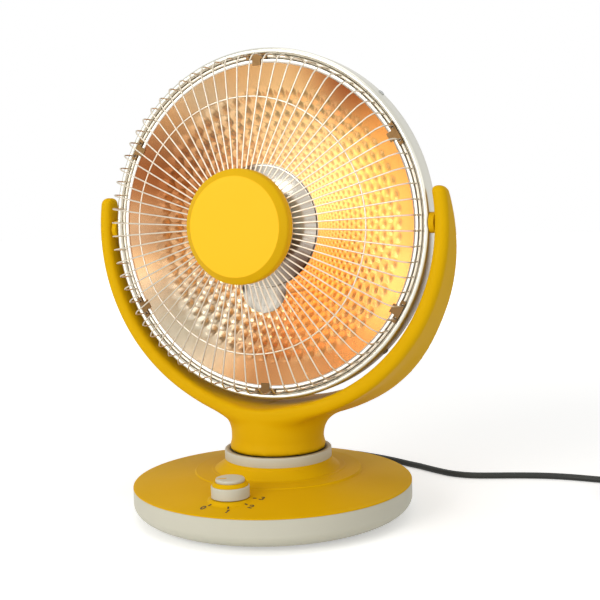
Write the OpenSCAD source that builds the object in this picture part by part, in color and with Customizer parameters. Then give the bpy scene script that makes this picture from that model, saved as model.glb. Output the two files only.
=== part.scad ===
// Dish heater on a swivelling yoke, with a round base, a knob and a mains lead.
// Millimetres. Origin: centre of the base on the floor. Front is -Y, up is +Z.

/* [Base] */
// Radius of the base at the seam between tray and cover
base_r = 130; // [124:1:136]
// Height of the seam above the floor
seam_z = 30; // [28:1:34]
// Gap between the tray's bottom and the floor, which the feet fill
foot_gap = 2.5; // [2.2:0.1:3.5]
// Radius of the tray's flat bottom
tray_flat_r = 108; // [104:1:112]
// Height of the tray's rounded lower edge
tray_round_h = 14; // [10:1:16]
// Wall of the tray
tray_wall = 2.6; // [2:0.1:3]
// Rise of the domed cover above its lip
dome_rise = 10.5; // [8:0.5:13]
// Wall of the cover
cover_wall = 2.5; // [2:0.1:3]
// Radius of the stepped plinth round the neck
plinth_r = 79; // [76:1:82]
// Thickness of the steel ballast plate
ballast_t = 4; // [3:0.5:5]
// Radius of the ballast plate
ballast_r = 84; // [80:1:88]
// Radius of a rubber foot
foot_r = 8; // [6:0.5:10]

/* [Swivel] */
// Distance of the neck's axis behind the base's centre
neck_y = 12; // [8:1:16]
// Outer radius of the white collar
collar_r = 51.4; // [50.5:0.1:53]
// Height of the visible collar
collar_h = 8.6; // [7:0.1:10]
// Height at which the collar meets the cover
collar_z = 49.6; // [49:0.1:52]
// Thickness of the swivel plate
swivel_plate_t = 2.5; // [2:0.5:3]
// Underside of the swivel plate above the floor
swivel_plate_z = 36; // [35:0.5:37]
// Outer radius of the spindle tube
spindle_r = 8; // [7:0.5:9]
// Inner radius of the spindle tube
spindle_bore_r = 5.6; // [5:0.1:5.9]
// Outer radius of the plain bush
bush_r = 11; // [10.5:0.5:12]
// Face width of both gears
gear_w = 4; // [3:0.5:4.5]
// Gear module
gear_module = 1; // [0.9:0.05:1.05]
// Teeth of the full sector gear circle
sector_teeth = 64; // [60:2:66]
// Teeth of the motor pinion
pinion_teeth = 16; // [14:1:18]
// Swing of the yoke to each side
swing_angle = 35; // [20:1:40]

/* [Neck and yoke] */
// Radius of the neck at its waist
neck_r = 43.6; // [42.5:0.1:44.5]
// Radius of the neck's bottom rim
neck_rim_r = 45.2; // [44.5:0.1:46]
// Wall of the neck and the yoke
yoke_wall = 2.6; // [2.2:0.1:3]
// Radial gap between the ring and the yoke's inner face
yoke_gap = 5; // [4.5:0.5:6]
// Thickness of the yoke's arms at the pivots
arm_t = 13; // [12:0.5:14]
// Thickness of the yoke over the neck
yoke_root_t = 14.8; // [13.5:0.1:17]
// Height of the neck from the collar to the yoke's inner face
neck_h = 43.3; // [41:0.1:48]
// Depth of the yoke's arms, front to back
arm_d = 25; // [23:1:27]
// Height of the arm tips above the pivots
tip_rise = 31; // [26:1:36]

/* [Head] */
// Y of the tilt axis and of the arms' middle
pivot_y = -5; // [-6:1:-4]
// Outer radius of the steel ring
ring_r = 160; // [155:1:163]
// Depth of the ring, front to back
ring_d = 20; // [18:1:22]
// Width of the ring's bright flange and groove
ring_flange_w = 16.5; // [15:0.5:18]
// Depth of the reflector from rim to vertex
dish_depth = 75; // [68:1:80]
// Sheet thickness of the reflector
dish_t = 0.8; // [0.6:0.1:1.2]
// Depth of the rear housing behind the ring
housing_depth = 84; // [82:1:88]
// Wall of the rear housing
housing_wall = 2.2; // [1.8:0.1:2.6]
// Radius of a tilt pin
pin_r = 4; // [3:0.5:4.5]
// Tilt up from level
tilt_up = 25; // [15:1:30]
// Tilt down from level
tilt_down = 15; // [10:1:20]

/* [Guard] */
// Number of radial guard wires
wire_count = 72; // [60:4:72]
// Thickness of a guard wire
wire_t = 2; // [1.6:0.1:2.2]
// How far the hub's face stands ahead of the ring
hub_front = 51.5; // [48:0.5:55]
// Radius of the hub cap
hub_r = 52; // [48:1:54]
// Depth of the hub cap
hub_d = 13; // [11:0.5:14]
// How far the wire shoulders stand ahead of the ring
shoulder_front = 25; // [20:1:28]
// Radius of the guard's middle ring
mid_ring_r = 114; // [100:1:120]
// Number of guard clips
clip_count = 6; // [4:1:8]

/* [Heating element] */
// Radius of the ceramic core
core_r = 12; // [10:0.5:13]
// Radius of the winding's tube
winding_tube_r = 1.6; // [1.2:0.1:1.7]
// Rise of the winding in one turn
winding_pitch = 4; // [3.9:0.05:4.2]
// Turns of the winding
winding_turns = 10; // [6:1:11]
// Radius of the counter reflector
counter_r = 57; // [50:1:60]
// Width of the shield tongue
tongue_w = 46; // [40:1:50]
// Reach of the shield tongue below the dish's axis
tongue_reach = 80; // [74:1:86]

/* [Knob and controls] */
// X of the knob's axis
knob_x = 6; // [0:1:8]
// Distance of the knob's axis in from the base's front edge
knob_inset = 39; // [36:1:41]
// Radius of the knob
knob_r = 16.5; // [15:0.5:18]
// Height of the knob
knob_h = 16; // [14:0.5:18]
// Radius of the switch shaft
shaft_r = 3; // [2.5:0.5:3.5]
// Travel of the tip-over plunger
plunger_travel = 4; // [3:0.5:4]
// Radius of the plunger's rod
plunger_r = 4; // [3.5:0.1:4.3]

/* [Mains lead] */
// Radius of the cord
cord_r = 3; // [2.7:0.1:3.2]
// Length of the strain relief behind the base
gland_l = 33; // [28:1:33]
// Height of the gland's axis
gland_z = 17; // [16:0.5:18]
// Radius of the coil's outermost turn, at the middle of the cord
coil_r = 42; // [40:1:44]
// Distance between neighbouring turns
coil_pitch = 6.5; // [6.5:0.1:6.8]
// Turns in the coil
coil_turns = 5.25; // [5.25]
// Length of the plug's body
plug_l = 34; // [30:1:38]

/* [Clearances] */
// Radial clearance of a running fit
run_fit = 0.05; // [0.03:0.01:0.08]
// Gap between faces that turn past each other
turn_gap = 0.5; // [0.3:0.1:0.8]
// Gap between seated pieces that don't move
seat_gap = 0.2; // [0.1:0.05:0.3]

/* [Hidden] */
$fn = 72;

white = "#ddd8c8";
yellow = "#e0ac08";
steel = "#c4c6c4";
gold = "#c98c46";
black = "#222523";
brass = "#b9974f";
ceramic = "#e9e4d6";

// Base
tray_top = foot_gap + tray_wall;
ballast_top = tray_top + ballast_t;
dome_z = seam_z + 1;
cover_post_r = 4.5;
cover_post_at = base_r - 29;
cover_post_angles = [20, 160, 200, 340];
foot_angles = [45, 135, 225, 315];
foot_at = tray_flat_r - 16;
foot_stem_r = 3;
screw_r = 1.8;
screw_head_r = 3.6;
screw_head_h = 1.6;

// Swivel stack, from the plate up to the neck
collar_top = collar_z + collar_h;
neck_z = collar_top + turn_gap;
collar_skirt_r = collar_r - 1.1;
collar_bore_r = collar_r - 4.6;
swivel_plate_top = swivel_plate_z + swivel_plate_t;
swivel_plate_r = collar_skirt_r + 0.6;
spindle_flange_z = neck_z + 1;
spindle_flange_t = 3;
washer_t = 1.6;
washer_gap = 0.1;
hub_top = spindle_flange_z - washer_t - 2 * washer_gap;
swivel_hub_r = bush_r + 9;
swivel_post_r = 5;
swivel_post_at = sector_teeth * gear_module / 2 + 10;
swivel_post_angles = [0, 120, 240];
bush_flange_t = 1.6;
gear_z = swivel_plate_z - bush_flange_t - washer_gap - gear_w;
clip_z = gear_z - 1.5;
spindle_bottom = clip_z - 7;
spindle_top = spindle_flange_z + spindle_flange_t + 2;

// Gears: pitch radii, tooth height and backlash
sector_r = sector_teeth * gear_module / 2;
pinion_r = pinion_teeth * gear_module / 2;
gear_centres = sector_r + pinion_r;
gear_backlash = 0.12;
motor_r = 22;
motor_shaft_offset = 7;
motor_shaft_r = 2.5;
motor_top = gear_z - 1.2;
motor_angle = 180;

// Tip-over switch
tip_x = 66;
tip_y = -40;
tip_flange_r = plunger_r + 1.8;
tip_flange_t = 1.5;
tip_flange_z = tray_top + plunger_travel + 0.3;
tip_guide_r = tip_flange_r + 0.4;
tip_guide_wall = 2.2;
tip_guide_top = tip_flange_z + tip_flange_t + 11;
tip_foot_z = 0.4;
tip_spring_wire = 0.45;
tip_spring_coils = 5;

// Knob and switch
knob_y = knob_inset - base_r;
pad_z = dome_z + dome_rise * (1 - pow(knob_y / base_r, 2)) + 0.8;
pad_r = knob_r + 1.8;
switch_w = 24;
switch_h = 15;
bushing_r = shaft_r + 1.8;
knob_z = pad_z + 0.6;
band_z = knob_z + knob_h * 0.62;
band_h = knob_h * 0.2;
cap_r = knob_r - 3;

// Yoke: a band round the tilt axis, whose outer circle is set a little lower
yoke_in_r = ring_r + yoke_gap;
head_z = neck_z + neck_h + yoke_in_r;
yoke_low = yoke_in_r + yoke_root_t;
yoke_side = yoke_in_r + arm_t;
yoke_out_r = (yoke_low + yoke_side * yoke_side / yoke_low) / 2;
yoke_drop = yoke_low - yoke_out_r;
root_d = 2 * neck_r - 1;
front_y = pivot_y - arm_d / 2;
back_y = pivot_y + arm_d / 2;
root_front_y = neck_y - root_d / 2;
root_back_y = neck_y + root_d / 2;
root_spread = 48;
lid_t = 2.4;
lid_gap = 0.3;
lug_h = 22;
arm_end_z = head_z - lug_h;
yoke_screw_r = 1.4;
yoke_screw_head_r = 2.6;
screw_sink = 1;
far = 2 * yoke_out_r;

// Head: radii of the ring's parts, out from the dish's edge
flange_r = ring_r - ring_flange_w;
groove_in_r = ring_r - 9.6;
groove_out_r = ring_r - 5.6;
groove_r = (groove_in_r + groove_out_r) / 2;
ring_front_y = pivot_y - 5.5;
sheet_t = 1;
groove_depth = 3.5;
dish_r = flange_r + 5.2;
dish_front_y = ring_front_y + sheet_t;
dish_hole_r = core_r + 6;
housing_r = ring_r - sheet_t - seat_gap;
housing_front_y = pivot_y + pin_r + 1.5;
ring_back_y = ring_front_y + ring_d;
housing_back_y = ring_front_y + 9 + housing_depth;
bowl_y = ring_back_y + 0.3;
bowl_r = ring_r - 0.4;
bowl_d = housing_back_y - bowl_y;
bracket_t = 2.6;
bracket_r = ring_r - sheet_t - 0.1;
winding_r = core_r + winding_tube_r + 0.3;
winding_start = 10;
stem_r = 2.5;
element_foot_t = 6;
hub_face_y = ring_front_y - hub_front;
hub_back_y = hub_face_y + hub_d;
hub_wall = 2.2;
counter_y = ring_front_y + 1;
counter_rise = 11;
tongue_y = counter_y + dish_t;
stay_x = 12;
stay_down = tongue_reach - 18;
stay_r = 2;

// Points of the mains lead's free stretch: straight out of the strain relief, down to
// the floor in a long curve, round to the right and into the coil
cord_floor = cord_r;
cord_start_y = base_r + 1 + gland_l;
cord_route = [
    [0, cord_start_y, gland_z], [0.6, cord_start_y + 8, gland_z - 0.8],
    [5, 181, 13.6], [13, 191, 10.6], [24, 198.5, 7.6], [37, 202, 5.4], [51, 201.5, 3.9],
    [65, 198, cord_floor], [79, 192.5, cord_floor], [92, 186, cord_floor],
    [106, 179.5, cord_floor], [119, 174.8, cord_floor], [131, 173.4, cord_floor],
    [142, 174.4, cord_floor], [153, 177.6, cord_floor], [166, 182.6, cord_floor],
    [182, 189, cord_floor], [199, 195, cord_floor], [217, 199.8, cord_floor],
    [236, 202.4, cord_floor], [256, 203, cord_floor], [290, 203, cord_floor],
    [324, 203, cord_floor]];
coil_x = 324;
coil_y = 203 - coil_r;
coil_layer = 2 * cord_r + 0.6;

// Points of an elliptical arc
function arc_pts(cx, cy, rx, ry, a0, a1, n) =
    [for (i = [0:n]) let (a = a0 + (a1 - a0) * i / n) [cx + rx * cos(a), cy + ry * sin(a)]];
// Height of the cover's dome at a distance from the base's centre
function dome_at(r) = dome_z + dome_rise * (1 - pow(r / base_r, 2));
// Y of the reflector's front surface at a radius
function dish_at(r) = dish_front_y + dish_depth * (1 - pow(r / dish_r, 2));
// Y of the housing's inner surface at a radius
function bowl_at(r) = bowl_y + (bowl_d - housing_wall) * sqrt(1 - pow(r / (bowl_r - housing_wall - 1), 2));
// Unit vector along v
function unit(v) = v / norm(v);
// Smooth curve through a list of points, n steps between neighbours
function spline_at(a, b, c, d, t) =
    0.5 * (2 * b + (c - a) * t + (2 * a - 5 * b + 4 * c - d) * t * t
           + (3 * b - a - 3 * c + d) * t * t * t);
function smooth(pts, n) = let (m = len(pts) - 1) concat(
    [for (i = [0:m - 1]) for (k = [0:n - 1])
        spline_at(pts[max(i - 1, 0)], pts[i], pts[i + 1], pts[min(i + 2, m)], k / n)],
    [pts[m]]);
// Tangents of a path, its first and last ones along the end stretches
function tangents(p) = let (m = len(p) - 1)
    [for (i = [0:m]) unit(p[min(i + 1, m)] - p[max(i - 1, 0)])];
// Rings of points round a path; "up" is a direction the path never takes
function tube_rings(p, r, sides, up) = let (t = tangents(p))
    [for (i = [0:len(p) - 1]) let (s = unit(cross(t[i], up)), w = cross(s, t[i]))
        for (k = [0:sides - 1]) let (a = 360 * (k + 0.5) / sides)
            p[i] + r * (cos(a) * s + sin(a) * w)];
function tube_faces(n, sides) = concat(
    [for (i = [0:n - 2]) for (k = [0:sides - 1]) let (j = (k + 1) % sides)
        each [[i * sides + k, (i + 1) * sides + j, (i + 1) * sides + k],
              [i * sides + k, i * sides + j, (i + 1) * sides + j]]],
    [for (k = [1:sides - 2]) [0, k + 1, k]],
    [for (k = [1:sides - 2]) let (b = (n - 1) * sides) [b, b + k, b + k + 1]]);
// One unbroken tube along a path
module tube(p, r, sides, up = [0, 0, 1])
    polyhedron(tube_rings(p, r, sides, up), tube_faces(len(p), sides), convexity = 8);

// Turns what follows onto the neck's axis
module on_neck() translate([0, neck_y, 0]) children();
// Revolve frame of the head: X and Y of a profile become radius and world Y
module on_head() translate([0, 0, head_z]) rotate([-90, 0, 0]) children();
// A flat outline in radius and world Y, extruded t across the radius
module radial_plate(t, angle)
    rotate([0, 0, angle]) rotate([90, 0, 0]) translate([0, 0, -t / 2])
        linear_extrude(t) children();
// Places children at each angle, r from the centre
module polar(r, angles) for (a = angles) rotate([0, 0, a]) translate([r, 0, 0]) children();

// ---------------------------------------------------------------- Base

tray_outer = concat([[0, foot_gap]],
    arc_pts(tray_flat_r, foot_gap + tray_round_h, base_r - tray_flat_r, tray_round_h, -90, 0, 10),
    [[base_r, seam_z]]);
tray_inner = concat([[base_r - tray_wall, seam_z]],
    arc_pts(tray_flat_r, foot_gap + tray_round_h, base_r - tray_flat_r - tray_wall,
            tray_round_h - tray_wall, 0, -90, 10),
    [[0, tray_top]]);

module base_tray() color(white) {
    difference() {
        rotate_extrude() polygon(concat(tray_outer, tray_inner));
        polar(foot_at, foot_angles) cylinder(r = foot_stem_r + seat_gap, h = tray_top + 1);
        polar(cover_post_at, cover_post_angles) cylinder(r = screw_r + seat_gap, h = tray_top + 1);
        translate([tip_x, tip_y, 0]) cylinder(r = plunger_r + 0.3, h = tray_top + 1);
        on_neck() polar(swivel_post_at, swivel_post_angles)
            cylinder(r = screw_r + seat_gap, h = tray_top + 1);
        translate([0, base_r - 20, gland_z]) rotate([-90, 0, 0])
            cylinder(r = cord_r + 2.6, h = 30);
    }
}

module base_cover() color(yellow) {
    skirt_r = base_r - tray_wall - seat_gap;
    dome_pts = [for (i = [0:12]) let (r = base_r * (1 - i / 12)) [r, dome_at(r)]];
    under_pts = [for (i = [12:-1:0]) let (r = skirt_r * (1 - i / 12))
        [r, dome_at(r) - cover_wall]];
    difference() {
        union() {
            rotate_extrude() polygon(concat([[base_r, seam_z]], dome_pts, under_pts,
                [[skirt_r, seam_z]]));
            rotate_extrude() polygon([[skirt_r - 1.8, seam_z - 3], [skirt_r, seam_z - 3],
                [skirt_r, seam_z + 0.2], [skirt_r - 1.8, seam_z + 1.2]]);
            translate([knob_x, knob_y, pad_z - cover_wall]) cylinder(r = pad_r, h = cover_wall);
            polar(cover_post_at, cover_post_angles) translate([0, 0, tray_top])
                cylinder(r = cover_post_r, h = dome_at(cover_post_at) - 1.2 - tray_top);
        }
        on_neck() cylinder(r = plinth_r - 1.6, h = 100);
        translate([knob_x, knob_y, pad_z]) cylinder(r = pad_r, h = 20);
        translate([knob_x, knob_y, 0]) cylinder(r = bushing_r + seat_gap, h = 100);
        translate([knob_x - switch_w / 2 - seat_gap, knob_y - switch_w / 2 - seat_gap, 0])
            cube([switch_w + 2 * seat_gap, switch_w + 2 * seat_gap, pad_z - cover_wall]);
        polar(cover_post_at, cover_post_angles) cylinder(r = screw_r + run_fit, h = tray_top + 12);
    }
    on_neck() plinth();
}

// Stepped plinth that flares up to the collar
module plinth() {
    step_z = dome_at(plinth_r - neck_y) + 0.6;
    low_z = dome_at(plinth_r + neck_y) - cover_wall;
    inner_r = collar_skirt_r + turn_gap;
    flare_r = plinth_r - 18;
    flare = arc_pts(flare_r, collar_z, flare_r - collar_r, collar_z - step_z - 2.4, -90, -180, 8);
    w = cover_wall;
    rotate_extrude() polygon(concat(
        [[plinth_r, low_z], [plinth_r, step_z - 0.5], [plinth_r - 0.5, step_z],
         [flare_r + 1.5, step_z + 0.9], [flare_r + 1, step_z + 2.2]],
        flare,
        [[inner_r, collar_z], [inner_r, collar_z - 4], [flare_r - 4, step_z - w + 1.6],
         [flare_r + 2, step_z - w + 0.6], [plinth_r - w, step_z - w], [plinth_r - w, low_z]]));
}

module collar_ring() color(white) on_neck() rotate_extrude() polygon([
    [collar_bore_r, swivel_plate_top], [collar_skirt_r, swivel_plate_top],
    [collar_skirt_r, collar_z], [collar_r, collar_z], [collar_r, collar_top - 0.6],
    [collar_r - 0.6, collar_top], [collar_bore_r, collar_top]]);

module rubber_feet() color(black) polar(foot_at, foot_angles) {
    cylinder(r = foot_r, h = foot_gap);
    cylinder(r = foot_stem_r, h = tray_top);
}

module ballast_plate() color(steel) difference() {
    translate([0, 0, tray_top]) cylinder(r = ballast_r, h = ballast_t);
    cut_z = tray_top - 1;
    translate([tip_x, tip_y, cut_z]) cylinder(r = tip_guide_r + tip_guide_wall + 1, h = 20);
    on_neck() polar(swivel_post_at, swivel_post_angles) translate([0, 0, cut_z])
        cylinder(r = swivel_post_r + 1, h = 20);
}

module base_screws() color(steel) polar(cover_post_at, cover_post_angles) {
    translate([0, 0, foot_gap - screw_head_h]) cylinder(r = screw_head_r, h = screw_head_h);
    translate([0, 0, foot_gap - 0.5]) cylinder(r = screw_r, h = 12);
}

// ---------------------------------------------------------------- Swivel

module swivel_plate() color(steel) on_neck() difference() {
    union() {
        translate([0, 0, swivel_plate_z]) cylinder(r = swivel_plate_r, h = swivel_plate_t);
        translate([0, 0, swivel_plate_z]) cylinder(r = swivel_hub_r, h = hub_top - swivel_plate_z);
        polar(swivel_post_at, swivel_post_angles) translate([0, 0, tray_top])
            cylinder(r = swivel_post_r, h = swivel_plate_z - tray_top + 1);
    }
    translate([0, 0, swivel_plate_z - 1]) cylinder(r = bush_r + seat_gap / 2, h = 40);
    polar(swivel_post_at, swivel_post_angles) translate([0, 0, tray_top - 1])
        cylinder(r = screw_r + run_fit, h = 14);
}

module swivel_screws() color(steel) on_neck() polar(swivel_post_at, swivel_post_angles) {
    translate([0, 0, foot_gap - screw_head_h]) cylinder(r = screw_head_r, h = screw_head_h);
    translate([0, 0, foot_gap - 0.5]) cylinder(r = screw_r, h = 12);
}

module swivel_bush() color(white) on_neck() difference() {
    union() {
        translate([0, 0, swivel_plate_z - bush_flange_t])
            cylinder(r = bush_r + 3, h = bush_flange_t);
        translate([0, 0, swivel_plate_z - 0.5]) cylinder(r = bush_r, h = hub_top - swivel_plate_z + 0.5);
    }
    translate([0, 0, swivel_plate_z - 5]) cylinder(r = spindle_r + run_fit, h = 60);
}

module thrust_washer() color(white) on_neck() translate([0, 0, hub_top]) difference() {
    cylinder(r = swivel_hub_r, h = washer_t);
    translate([0, 0, -1]) cylinder(r = spindle_r + 0.3, h = washer_t + 2);
}

module swivel_spindle() color(steel) on_neck() difference() {
    union() {
        translate([0, 0, spindle_bottom]) cylinder(r = spindle_r, h = spindle_top - spindle_bottom);
        translate([0, 0, spindle_flange_z])
            cylinder(r = neck_rim_r - yoke_wall - 1, h = spindle_flange_t);
    }
    translate([0, 0, spindle_bottom - 1]) cylinder(r = spindle_bore_r, h = 100);
    translate([0, 0, clip_z]) difference() {
        cylinder(r = spindle_r + 1, h = 1.2);
        translate([0, 0, -1]) cylinder(r = spindle_r - 0.8, h = 4);
    }
}

// Involute tooth flank: angle of the involute at radius r from base radius rb
function inv_at(r, rb) = sqrt(pow(r / rb, 2) - 1) * 180 / PI - acos(rb / r);
// Half the tooth's angle at radius r for n teeth
function tooth_half(r, n) = let (rp = n * gear_module / 2, rb = rp * cos(20))
    90 / n - gear_backlash * 90 / (PI * rp) + inv_at(rp, rb) - inv_at(max(r, rb), rb);
function on_circle(r, a) = [r * cos(a), r * sin(a)];
function tooth_pts(n, i) = let (
        rp = n * gear_module / 2, root = rp - 1.15 * gear_module, tip = rp + 0.8 * gear_module,
        c = 360 * i / n, rs = [for (k = [0:4]) root + (tip - root) * k / 4])
    concat([for (k = [0:4]) on_circle(rs[k], c - tooth_half(rs[k], n))],
           [for (k = [4:-1:0]) on_circle(rs[k], c + tooth_half(rs[k], n))]);
module gear_teeth(n, first, last)
    polygon(concat(last - first + 1 < n ? [[0, 0]] : [],
        [for (i = [first:last]) each tooth_pts(n, i)]));

// Toothed over the swing and a little more, round the motor's side
module sector_gear() color(white) on_neck() {
    half_teeth = ceil((swing_angle + 20) * sector_teeth / 360);
    difference() {
        union() {
            translate([0, 0, gear_z]) linear_extrude(gear_w) rotate([0, 0, motor_angle])
                gear_teeth(sector_teeth, -half_teeth, half_teeth);
            translate([0, 0, gear_z]) cylinder(r = spindle_r + 5, h = gear_w);
        }
        translate([0, 0, gear_z - 1]) cylinder(r = spindle_r + 0.02, h = gear_w + 2);
    }
}

module retaining_clip() color(steel) on_neck() translate([0, 0, clip_z + 0.05])
    linear_extrude(1.1) difference() {
        circle(r = spindle_r + 3);
        circle(r = spindle_r - 0.75);
        translate([0, -spindle_r * 0.6]) square([spindle_r * 3, spindle_r * 1.2]);
    }

// Places children on the motor's shaft
module on_motor_shaft() on_neck() rotate([0, 0, motor_angle])
    translate([gear_centres, 0, 0]) children();

module swing_motor() color(steel) on_motor_shaft() difference() {
    translate([motor_shaft_offset, 0, ballast_top])
        cylinder(r = motor_r, h = motor_top - ballast_top);
    translate([0, 0, motor_top - 8]) cylinder(r = motor_shaft_r + run_fit, h = 20);
}

module motor_pinion() color(white) on_motor_shaft() {
    translate([0, 0, motor_top - 7.8]) cylinder(r = motor_shaft_r, h = gear_z - motor_top + 8);
    translate([0, 0, gear_z]) linear_extrude(gear_w) rotate([0, 0, 180 + 180 / pinion_teeth])
        gear_teeth(pinion_teeth, 0, pinion_teeth - 1);
}

// ---------------------------------------------------------------- Knob and controls

module on_knob() translate([knob_x, knob_y, 0]) children();

module rotary_switch() color(black) on_knob() difference() {
    union() {
        translate([-switch_w / 2, -switch_w / 2, pad_z - cover_wall - switch_h])
            cube([switch_w, switch_w, switch_h]);
        translate([0, 0, pad_z - cover_wall - 1]) cylinder(r = bushing_r, h = cover_wall + 5);
    }
    translate([0, 0, pad_z - cover_wall - switch_h + 3]) cylinder(r = shaft_r + run_fit, h = 60);
}

module switch_nut() color(brass) on_knob() translate([0, 0, pad_z]) difference() {
    cylinder(r = bushing_r + 2.6, h = 2.4, $fn = 6);
    translate([0, 0, -1]) cylinder(r = bushing_r + seat_gap / 4, h = 5);
}

module switch_shaft() color(brass) on_knob()
    translate([0, 0, pad_z - cover_wall - switch_h + 3.2])
        cylinder(r = shaft_r, h = band_z - 0.4 - pad_z + cover_wall + switch_h - 3.2);

// White skirt, hollow over the nut, on the shaft by its boss
module knob_body() color(white) on_knob() difference() {
    union() {
        rotate_extrude() polygon([
            [knob_r - 1.8, knob_z], [knob_r - 0.5, knob_z], [knob_r, knob_z + 0.5],
            [knob_r, band_z - 0.4], [knob_r - 0.4, band_z], [0, band_z],
            [0, band_z - 1.8], [knob_r - 1.8, band_z - 1.8]]);
        translate([0, 0, pad_z + 4.6]) cylinder(r = shaft_r + 2, h = band_z - pad_z - 5);
    }
    translate([0, 0, pad_z]) cylinder(r = shaft_r + 0.02, h = band_z - pad_z - 0.39);
}

module knob_band() color(yellow) on_knob() rotate_extrude() polygon([
    [0, band_z], [knob_r - 0.6, band_z], [knob_r - 0.9, band_z + 1],
    [cap_r + 0.6, band_z + band_h], [0, band_z + band_h]]);

module knob_cap() color(white) on_knob() rotate_extrude() polygon([
    [0, band_z + band_h], [cap_r, band_z + band_h], [cap_r, knob_z + knob_h - 0.9],
    [cap_r - 0.8, knob_z + knob_h], [0, knob_z + knob_h - 0.2]]);

module on_tip() translate([tip_x, tip_y, 0]) children();

module tip_guide() color(white) on_tip() difference() {
    translate([0, 0, tray_top]) cylinder(r = tip_guide_r + tip_guide_wall,
        h = tip_guide_top + 2 - tray_top);
    translate([0, 0, tray_top - 1]) cylinder(r = tip_guide_r, h = tip_guide_top - tray_top + 1);
    cylinder(r = plunger_r - 1 + 0.3, h = 60);
}

module tip_plunger() color(white) on_tip() {
    translate([0, 0, tip_foot_z]) cylinder(r = plunger_r, h = tip_flange_z - tip_foot_z + 0.5);
    translate([0, 0, tip_flange_z]) cylinder(r = tip_flange_r, h = tip_flange_t);
    translate([0, 0, tip_flange_z]) cylinder(r = plunger_r - 1, h = tip_guide_top + 2 - tip_flange_z);
}

module tip_spring() color(steel) on_tip() {
    spring_r = plunger_r - 1 + (tip_guide_r - plunger_r + 1) / 2;
    low = tip_flange_z + tip_flange_t + tip_spring_wire;
    rise = tip_guide_top - tip_spring_wire - low;
    steps = 8 * tip_spring_coils;
    tube([for (i = [0:steps]) let (a = 45 * i)
        [spring_r * cos(a), spring_r * sin(a), low + rise * i / steps]], tip_spring_wire, 6);
}

module tip_switch() color(black) on_tip() translate([-9, -5, tip_guide_top + 2])
    cube([18, 10, 8]);

block_y = 70;
block_d = 12;
module terminal_block() color(white) translate([-16, block_y, ballast_top]) cube([32, block_d, 12]);

module base_leads() color(black) {
    block_z = ballast_top + 7;
    lead_r = 1.4;
    start_y = block_y - seat_gap;
    block_back = block_y + block_d;
    translate([0, block_back, gland_z]) rotate([-90, 0, 0])
        cylinder(r = cord_r, h = base_r - tray_wall - 8 - block_back);
    switch_back = knob_y + switch_w / 2;
    switch_lead_z = pad_z - cover_wall - switch_h + 4;
    aisle_x = swivel_post_at - 15;
    tube(smooth([[10, start_y, block_z], [10, start_y - 4, block_z],
        [aisle_x - 9, start_y - 12, block_z - 2], [aisle_x, start_y - 30, ballast_top + 3],
        [aisle_x, 0, ballast_top + 2], [aisle_x - 7, switch_back + 34, ballast_top + 3],
        [knob_x + 4, switch_back + 10, switch_lead_z - 1],
        [knob_x + 4, switch_back + seat_gap, switch_lead_z]], 3), lead_r, 6);
    motor_side = neck_y + motor_r;
    motor_x = -gear_centres - motor_shaft_offset;
    tube(smooth([[-12, start_y, block_z], [-12, start_y - 4, block_z],
        [-22, start_y - 14, block_z - 1],
        [motor_x + 6, motor_side + 13, block_z - 2], [motor_x, motor_side + 5, block_z - 2],
        [motor_x, motor_side + seat_gap, block_z - 2]], 3), lead_r, 6);
    tube(smooth([[0, start_y, block_z], [0, start_y - 4, block_z],
        [0, start_y - 20, ballast_top + 3],
        [0, neck_y + 14, ballast_top + 2.6], [0, neck_y + 5, ballast_top + 4],
        [0, neck_y + 0.6, ballast_top + 8], [0, neck_y, spindle_bottom - 0.3]], 3),
        lead_r, 6, [1, 0, 0]);
}

// ---------------------------------------------------------------- Mains lead

module cord_gland() color(black) translate([0, 0, gland_z]) rotate([-90, 0, 0]) {
    wall_y = base_r - tray_wall;
    translate([0, 0, wall_y - 8]) cylinder(r = cord_r + 3.4, h = 4.5);
    translate([0, 0, wall_y - 4]) cylinder(r = cord_r + 2.4, h = 8);
    translate([0, 0, base_r + 1]) rotate_extrude() polygon([
        [0, -1], [cord_r + 3.8, -1], [cord_r + 3.8, 1.5], [cord_r + 2.8, 3],
        [cord_r + 0.9, gland_l], [0, gland_l]]);
}

module cord() color(black) tube(smooth(cord_route, 2), cord_r, 10);

// Distance from the coil's middle and height along the coil: the turns spiral in on the
// floor, climb one layer in the half turn where the spiral reverses, and spiral out
coil_mid = coil_turns / 2;
function coil_at(t) = let (
        r = coil_r - coil_pitch * (coil_mid - abs(t - coil_mid)), a = 90 - 360 * t,
        climb = min(max((t - coil_mid + 0.25) / 0.5, 0), 1))
    [coil_x + r * cos(a), coil_y + r * sin(a),
     cord_floor + coil_layer * climb * climb * (3 - 2 * climb)];
coil_end = coil_at(coil_turns);
coil_path = concat(
    [for (i = [0:24 * coil_turns]) coil_at(i / 24)],
    [coil_end - [0, 2 * cord_r, 0], coil_end - [0, 4 * cord_r, 0]]);
// Least distance between points of the coil more than a third of a turn apart
coil_gap = min([for (i = [0:len(coil_path) - 9]) for (j = [i + 8:len(coil_path) - 1])
    norm(coil_path[i] - coil_path[j])]) - 2 * cord_r;
echo(coil_gap = coil_gap);

module cord_coil() color(black) tube(coil_path, cord_r, 6);

plug_x = coil_end[0];
plug_z = coil_end[2];
plug_y = coil_end[1] - 4 * cord_r;
relief_l = 20;
plug_w = 34;
pin_gap = 19;
plug_pin_r = 2.4;
plug_pin_l = 19;

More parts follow.
